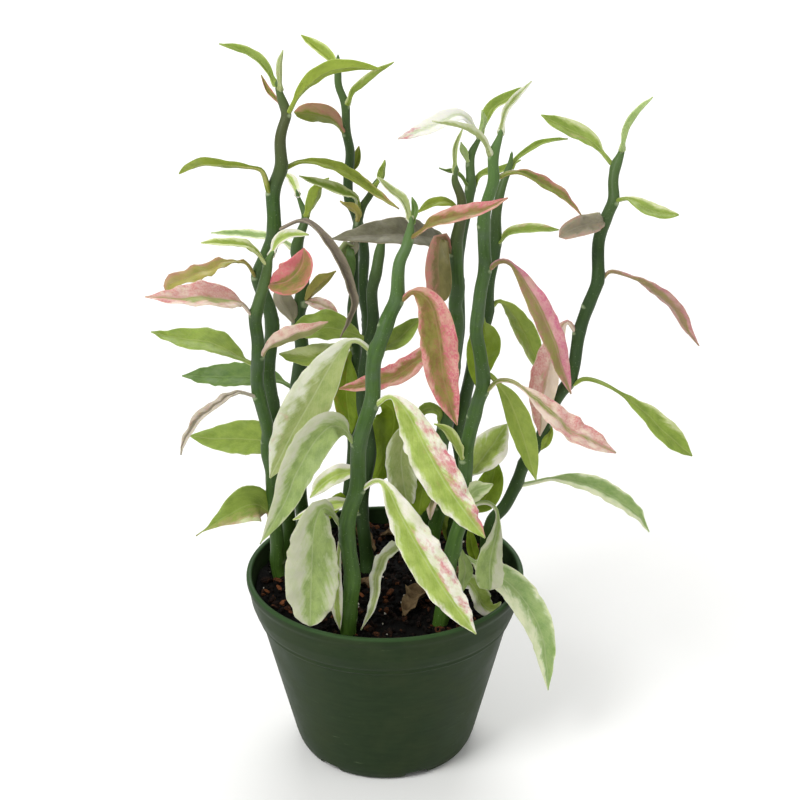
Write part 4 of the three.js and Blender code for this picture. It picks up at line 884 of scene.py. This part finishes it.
def make_leaf(name, leaf, stems, skins, nodes):
    """A leaf's skin: a petiole that widens to a folded blade with notched and rippled margins, a keel under
    its midrib, raised side veins and uneven swellings."""
    stem = stems[leaf["stem"]]
    path, at, outward = midrib_path(leaf, stem)
    stem["leaf_nodes"].append((at, outward))
    dice = random.Random("leaf " + name)
    rows = max(14, round(path.length / LEAF_STEP))
    share = np.linspace(0, 1, rows)
    mm = share[:, None] * path.length
    side = across_blade(leaf, path, share)
    upper = np.cross(path.heading(share), side)
    across, face = round_section(LEAF_COLUMNS)
    hand = np.sign(across)
    out = np.abs(across)
    petiole = leaf["petiole"]
    in_blade = (smooth_step(petiole, petiole + 0.2, share) * (1 - smooth_step(0.88, 1.0, share)))[:, None]

    fuller_left = dice.uniform(-UNEVEN_HALVES, UNEVEN_HALVES)
    half = half_width(leaf, share)[:, None] * (1 + fuller_left * hand * in_blade)
    notch_mm = dice.uniform(*NOTCH_SPACING)
    notches = (np.sin(FULL_TURN * mm / notch_mm + 3 * hand + 1.5 * np.sin(mm / 5))
               * (1 + np.sin(mm / 4 + 5 * hand)) / 2)
    half = half * (1 + leaf["notch"] * notches * out ** 2 * in_blade)
    across_mm = across * half
    vein_mm = mm - VEIN_SLANT * np.abs(across_mm)

    fold = np.radians(leaf["fold"]) * (smooth_step(petiole * 0.5, petiole + 0.15, share)
                                       * (1 - 0.3 * smooth_step(0.7, 1.0, share)))[:, None]
    raised = np.sqrt(out ** 2 + FOLD_SOFTNESS ** 2) - FOLD_SOFTNESS
    ripple = 0
    for shorter in (1, 0.57):
        ripple_mm = dice.uniform(*RIPPLE_SPACING) * shorter
        phase = np.where(across < 0, dice.uniform(0, 6), dice.uniform(0, 6))
        ripple = ripple + shorter * np.sin(FULL_TURN * mm / ripple_mm + phase
                                           + 1.2 * np.sin(FULL_TURN * mm / RIPPLE_DRIFT + phase))
    lift = (raised * half * np.sin(fold) - MARGIN_ROLL * half * out ** 3 * in_blade
            + leaf["wave"] * in_blade * out ** 2.2 * ripple
            + min(1, 0.4 + leaf["wave"]) * in_blade * swellings(mm, across_mm, dice)
            + VEIN_RELIEF * in_blade * out * (1 - out) * 4 * np.cos(FULL_TURN * vein_mm / VEIN_GAP))

    in_petiole = 1 - smooth_step(petiole * 0.6, petiole + 0.1, share)[:, None]
    blade_thickness = BLADE_THICKNESS + (TIP_THICKNESS - BLADE_THICKNESS) * share[:, None]
    thick = PETIOLE_THICKNESS * leaf["stalk"] * in_petiole + (1 - in_petiole) * blade_thickness
    roundness = 2 * in_petiole + 6 * (1 - in_petiole)
    body = thick / 2 * np.sqrt(np.clip(1 - out ** roundness, 0, 1))
    keel = KEEL_HEIGHT * hump(across_mm, KEEL_WIDTH) * (1 - in_petiole) * (1 - share[:, None])
    lift = lift + np.where(face > 0, body - 0.5 * keel, -body - keel) * (face != 0)
    points = (path.at(share)[:, None, :] + side[:, None, :] * (across_mm * np.cos(fold))[..., None]
              + upper[:, None, :] * lift[..., None])

    wide = np.ones((rows, len(across)))
    seed = dice.uniform(0, 400)
    green, pink = (np.where(across > 0, along_leaf(left, share)[:, None], along_leaf(right, share)[:, None])
                   for left, right in (leaf["green"], leaf["pink"]))
    brown = leaf["brown"] * smooth_step(0.8, 1.0, share)[:, None]
    attributes = {
        "leaf_mm": (mm, across_mm, seed),
        "leaf_vein": (vein_mm, np.abs(across_mm), seed + hand * 9),
        "leaf_share": (share[:, None], out, face >= 0),
        "leaf_tone": (green, pink, brown),
    }
    attributes = {title: np.stack([value * wide for value in values], axis=-1)
                  for title, values in attributes.items()}
    finish_piece(closed_skin(name, points, attributes, skins[leaf["skin"]]), "leaf_blade", *nodes)


def make_stem(name, stem, material):
    """A stem's skin: a round bar that swells at each node, with a scar under each leaf and a bud above it."""
    path = stem["path"]
    dice = random.Random("stem " + name)
    rows = round(path.length / STEM_STEP)
    share = np.linspace(0, 1, rows)
    mm = share * path.length
    tangent = path.heading(share)
    side = unit(np.cross([0, 1, 0], tangent))
    front = np.cross(tangent, side)
    turn = np.linspace(0, FULL_TURN, STEM_SIDES, endpoint=False)
    radius = stem_radius(stem, share)[:, None] * np.ones(STEM_SIDES)

    nodes = list(stem["leaf_nodes"])
    spot = ROOT_DEPTH + dice.uniform(5, 9)
    flip = 1
    while spot < path.length * 0.92:
        if all(abs(spot - at * path.length) > NODE_SPACING * 0.45 for at, _ in nodes):
            angle = dice.uniform(-0.7, 0.7)
            nodes.append((spot / path.length, np.array([flip * math.cos(angle), math.sin(angle), 0])))
        spot += dice.uniform(0.8, 1.15) * NODE_SPACING
        flip = -flip
    scars = np.zeros((rows, STEM_SIDES))
    for at, outward in nodes:
        row = int(round(at * (rows - 1)))
        angle = math.atan2(outward @ front[row], outward @ side[row])
        around = np.angle(np.exp(1j * (turn - angle)))
        above = (mm - at * path.length)[:, None]
        radius *= 1 + NODE_SWELL * hump(above, 2.6)
        radius += SCAR_LEDGE * hump(above + 0.9, 1.1) * hump(around, 0.75)
        radius += BUD_HEIGHT * hump(above - 1.8, 0.9) * hump(around, 0.4)
        scars += hump(above + 0.8, 0.9) * hump(around, 0.65)
    narrowing = smooth_step(path.length - TIP_TAPER, path.length, mm)
    to_tip = np.clip((mm - (path.length - TIP_ROUNDING)) / TIP_ROUNDING, 0, 1)
    radius *= ((1 - TIP_NARROWING * narrowing) * np.sqrt(np.clip(1 - to_tip ** 2, 0.01, 1)))[:, None]
    points = (path.at(share)[:, None, :] + side[:, None, :] * (np.cos(turn) * radius)[..., None]
              + front[:, None, :] * (np.sin(turn) * radius)[..., None])
    wide = np.ones((rows, STEM_SIDES))
    seed = dice.uniform(0, 400)
    around_mm, across_mm = (way(turn) * stem_radius(stem, 0.5) * wide for way in (np.sin, np.cos))
    attributes = {
        "stem_mm": np.stack([around_mm + seed, mm[:, None] * wide, across_mm], axis=-1),
        "stem_tone": np.stack([scars, share[:, None] * wide, wide], axis=-1),
    }
    finish_piece(closed_skin(name + "_skin", points, attributes, material), "stem_skin", name)


def soften(profile, radius):
    """The same outline with each corner rounded."""
    profile = [np.array(p, float) for p in profile]
    soft = [profile[0]]
    for before, corner, after in zip(profile, profile[1:], profile[2:]):
        start, end = (corner + run * min(radius / np.linalg.norm(run), 0.45)
                      for run in (before - corner, after - corner))
        for turn in (0, 0.25, 0.5, 0.75, 1):
            soft.append((1 - turn) ** 2 * start + 2 * turn * (1 - turn) * corner + turn ** 2 * end)
    return np.array([*soft, profile[-1]])


def turned_mesh(name, profile, sides):
    """A closed body of revolution. Its outline of radii and heights starts and ends on the axis."""
    around = np.linspace(0, FULL_TURN, sides, endpoint=False)
    radius, height = profile[1:-1].T[..., None]
    return ring_mesh(name, np.stack([radius * np.cos(around), radius * np.sin(around),
                                     height * np.ones(sides)], axis=-1))


def make_pot(material):
    """The pot: foot, wall, banded rim and rolled lip, then down inside to the floor, with its drain notches
    cut away."""
    rim_inside = RIM_RADIUS - RIM_WIDTH
    outside = [
        (0, 0), (FOOT_RADIUS, 0), (FOOT_RADIUS + 1.6, 0.9), (WALL_FOOT_RADIUS - 1, 3.4),
        (WALL_FOOT_RADIUS, CORNER_HEIGHT), (WALL_TOP_RADIUS, BAND_FOOT),
        (WALL_TOP_RADIUS + 1.1, BAND_FOOT + 0.8), (WALL_TOP_RADIUS + 1.1, BAND_FOOT + 2.2),
        (WALL_TOP_RADIUS + 2, BAND_FOOT + 3.4), (WALL_TOP_RADIUS + 3.4, BAND_TOP),
        (RIM_RADIUS - 0.7, POT_HEIGHT - 4), (RIM_RADIUS, POT_HEIGHT - 2.4), (RIM_RADIUS, POT_HEIGHT - 0.6),
    ]
    inside = [
        (RIM_RADIUS - 0.6, POT_HEIGHT), (rim_inside + 0.5, POT_HEIGHT), (rim_inside, POT_HEIGHT - 0.5),
        (rim_inside - 1.2, BAND_TOP), (WALL_TOP_RADIUS - WALL_THICKNESS, BAND_FOOT),
        (WALL_FOOT_RADIUS - WALL_THICKNESS, INSIDE_CORNER_HEIGHT), (FOOT_RADIUS, FLOOR_THICKNESS),
        (0, FLOOR_THICKNESS),
    ]
    outline = soften(outside + inside, CORNER_ROUNDING)
    piece = place_object("nursery_pot", turned_mesh("nursery_pot", outline, POT_SIDES))
    cutters = [drain_cutter(DRAIN_TURN + i * FULL_TURN / DRAIN_COUNT) for i in range(DRAIN_COUNT)]
    for cutter in cutters:
        cut = piece.modifiers.new("drain", "BOOLEAN")
        cut.object = cutter
        cut.operation = "DIFFERENCE"
    bpy.context.view_layer.update()
    shown = piece.evaluated_get(bpy.context.evaluated_depsgraph_get())
    carved = bpy.data.meshes.new_from_object(shown)
    piece.modifiers.clear()
    piece.data = carved
    for cutter in cutters:
        bpy.data.objects.remove(cutter)
    carved.materials.clear()
    carved.materials.append(material)
    carved.shade_smooth()
    carved.set_sharp_from_angle(angle=math.radians(40))
    finish_piece(piece, "pot_plastic", "pot")


def drain_cutter(turn):
    """A wedge with slanted ends that opens one drain notch through the pot's bottom edge."""
    foot, top = DRAIN_WIDTH / 2 + 0.6, DRAIN_WIDTH / 2 - 0.9
    points = [(x, y, z) for x in (WALL_FOOT_RADIUS - 10, WALL_FOOT_RADIUS + 2)
              for y, z in ((-foot, -1), (foot, -1), (top, DRAIN_HEIGHT), (-top, DRAIN_HEIGHT))]
    faces = [(3, 2, 1, 0), (4, 5, 6, 7), (1, 5, 4, 0), (2, 6, 5, 1), (3, 7, 6, 2), (0, 4, 7, 3)]
    mesh = new_mesh("drain_cutter", points, faces)
    mesh.transform(Matrix.Rotation(turn, 4, "Z"))
    return place_object("drain_cutter", mesh)


def soil_height(x, y):
    """How high the potting mix lies: a low mound broken into crumbs, in mm."""
    off_centre = math.hypot(x, y) / SOIL_RADIUS
    lumps = sum(noise.noise(Vector((x / size, y / size, size))) * rise for size, rise in SOIL_LUMPS)
    return SOIL_TOP + SOIL_MOUND * (1 - off_centre ** 2) + lumps


def make_soil(material):
    """The potting mix: it fills the pot up to a lumpy top. Its tone stays 0, the darkest."""
    profile = [(0, FLOOR_THICKNESS + FIT_GAP), (FOOT_RADIUS - FIT_GAP, FLOOR_THICKNESS + FIT_GAP),
               (WALL_FOOT_RADIUS - WALL_THICKNESS - FIT_GAP, INSIDE_CORNER_HEIGHT),
               (WALL_TOP_RADIUS - WALL_THICKNESS - FIT_GAP, BAND_FOOT), (SOIL_RADIUS, BAND_TOP)]
    profile += [(SOIL_RADIUS * (1 - i / SOIL_RINGS), SOIL_TOP) for i in range(SOIL_RINGS + 1)]
    mesh = turned_mesh("potting_mix", np.array(profile, float), SOIL_SIDES)
    for vertex in mesh.vertices:
        if vertex.co.z > (SOIL_TOP - 0.1) * MM:
            vertex.co.z = soil_height(vertex.co.x / MM, vertex.co.y / MM) * MM
    mesh.shade_smooth()
    mesh.attributes.new("lump_tone", "FLOAT", "POINT")
    mesh.materials.append(material)
    finish_piece(place_object("potting_mix", mesh), "potting_mix", "soil")


def make_crumbs(name, row):
    """Crumbs of one kind strewn over the potting mix, joined in one mesh. Each is a lump of its own shape."""
    dice = random.Random(row["seed"])
    points, faces, tones = [], [], []
    ball_points, ball_faces = ball_mesh()
    for _ in range(row["count"]):
        reach = (SOIL_RADIUS - 1.5) * math.sqrt(dice.random())
        angle = dice.uniform(0, FULL_TURN)
        x, y = reach * math.cos(angle), reach * math.sin(angle)
        size = dice.uniform(*row["sizes"])
        shape = Matrix.Diagonal((size * dice.uniform(0.8, 1.5), size * dice.uniform(0.5, 0.9),
                                 size * dice.uniform(*row["flatness"])))
        tip = Euler((dice.uniform(-0.6, 0.6), dice.uniform(-0.6, 0.6), dice.uniform(0, 6.28))).to_matrix()
        place = Vector((x, y, soil_height(x, y) + size * row["proud"]))
        faces += [[i + len(points) for i in face] for face in ball_faces]
        points += [tip @ (shape @ (v * dice.uniform(0.75, 1.2))) + place for v in ball_points]
        tones += [dice.choice(row["tones"])] * len(ball_points)
    mesh = new_mesh(name, points, faces)
    mesh.attributes.new("lump_tone", "FLOAT", "POINT").data.foreach_set("value", tones)
    mesh.materials.append(loose_matter(*row["matter"]))
    finish_piece(place_object(name, mesh), "potting_mix", "soil")


def make_scrap(name, row, material):
    """A dead leaf that lies dry and crumpled on the potting mix."""
    dice = random.Random(name)
    start, end = (np.array(p, float) for p in row["ends"])
    share = np.linspace(0, 1, 26)
    across, face = round_section(12)
    reach = np.linalg.norm(end - start)
    heading = (end - start) / reach
    beside = np.array([-heading[1], heading[0]])
    half = row["width"] / 2 * np.sin(math.pi * np.clip(share, 0.03, 0.97))[:, None] ** 0.7
    ragged = 1 + 0.22 * np.sin(share * 19 + dice.uniform(0, 6))[:, None] * np.abs(across)
    across_mm = across * half * ragged
    x, y = (start[i] + heading[i] * share[:, None] * reach + beside[i] * across_mm * 0.75 for i in (0, 1))
    ground = np.array([soil_height(*(start + heading * s * reach)) for s in share])[:, None]
    crumple = swellings(share[:, None] * reach * 2, across_mm * 2, dice) * 1.4
    z = (ground + 1.2 + row["arch"] * np.sin(math.pi * share)[:, None]
         + np.abs(across) ** 1.5 * row["curl"] * half + crumple + face * 0.25)
    tones = np.ones((len(share), len(across), 3)) * dice.uniform(0.3, 0.6) + crumple[..., None] * 0.2
    piece = closed_skin(name, np.stack([x, y, z], axis=-1), {"lump_tone": tones}, material)
    finish_piece(piece, "potting_mix", "soil")


def ball_mesh():
    """The points and faces of a rough unit ball."""
    rings, sides = 4, 7
    points = [Vector((0, 0, -0.5))]
    for ring in range(1, rings):
        tilt = math.pi * ring / rings
        for i in range(sides):
            turn = FULL_TURN * (i + ring * 0.5) / sides
            points.append(Vector((math.sin(tilt) * math.cos(turn), math.sin(tilt) * math.sin(turn),
                                  -math.cos(tilt))) / 2)
    points.append(Vector((0, 0, 0.5)))
    faces = []
    for i in range(sides):
        j = (i + 1) % sides
        faces.append([0, 1 + j, 1 + i])
        for low in range(1, 1 + (rings - 2) * sides, sides):
            faces.append([low + i, low + j, low + sides + j, low + sides + i])
        faces.append([len(points) - 1, 1 + (rings - 2) * sides + i, 1 + (rings - 2) * sides + j])
    return points, faces


def make_stage(material):
    half = FLOOR_SIDE / 2
    mesh = new_mesh("floor", [(-half, -half, 0), (half, -half, 0), (half, half, 0), (-half, half, 0)],
                    [[0, 1, 2, 3]])
    mesh.materials.append(material)
    place_object("floor", mesh)


def make_lights():
    world = bpy.data.worlds.new("soft_studio")
    world.use_nodes = True
    fill(world.node_tree, world.node_tree.nodes["Background"], {"Color": "#ffffff", "Strength": 0.5})
    bpy.context.scene.world = world
    for name, row in LAMPS.items():
        lamp = bpy.data.lights.new(name, "AREA")
        lamp.shape = "DISK"
        lamp.size = row["width"]
        lamp.energy = row["power"]
        light = place_object(name, lamp)
        light.location = row["place"]
        light.rotation_euler = (Vector(row["aim"]) - light.location).to_track_quat("-Z", "Y").to_euler()
    bpy.context.scene.view_settings.view_transform = "Standard"


def make_camera():
    lens = bpy.data.cameras.new("camera")
    lens.sensor_width = SENSOR_WIDTH
    lens.lens = FOCAL / (2 * FRAME_CENTRE) * SENSOR_WIDTH
    lens.clip_start = 0.05
    camera = place_object("camera", lens)
    camera.location = EYE * MM
    camera.rotation_euler = (math.pi / 2 - VIEW_PITCH, 0, 0)
    bpy.context.scene.camera = camera


make_camera()
make_stage(painted_board())
make_lights()

stems = {name: {**row, "path": stem_path(row), "leaf_nodes": []} for name, row in STEMS.items()}
skins = {name: waxy_leaf(name, *colours) for name, colours in SKINS.items()}
for name, row in LEAVES.items():
    make_leaf("blade_" + name, {**LEAF_DEFAULTS, **row}, stems, skins, ["leaf_" + name])
for name, row in YOUNG_LEAVES.items():
    make_leaf("young_blade_" + name, {**YOUNG_DEFAULTS, **row}, stems, skins, [row["stem"]])
for name, row in INNER_LEAVES.items():
    make_leaf("inner_blade_" + name, {**LEAF_DEFAULTS, **row}, stems, skins, [])
for name, stem in stems.items():
    make_stem(name, stem, waxy_stem("waxy_" + name, stem["purple"], stem["painted_shade"]))

make_pot(moulded_polypropylene())
make_soil(loose_matter("moist_peat", "#040302", "#150e0a", 1.1))
for name, row in CRUMBS.items():
    make_crumbs(name, row)
dry_leaf = loose_matter("dried_leaf", "#43321f", "#8f7a5a", 2.4)
for name, row in DRY_SCRAPS.items():
    make_scrap("dry_scrap_" + name, row, dry_leaf)
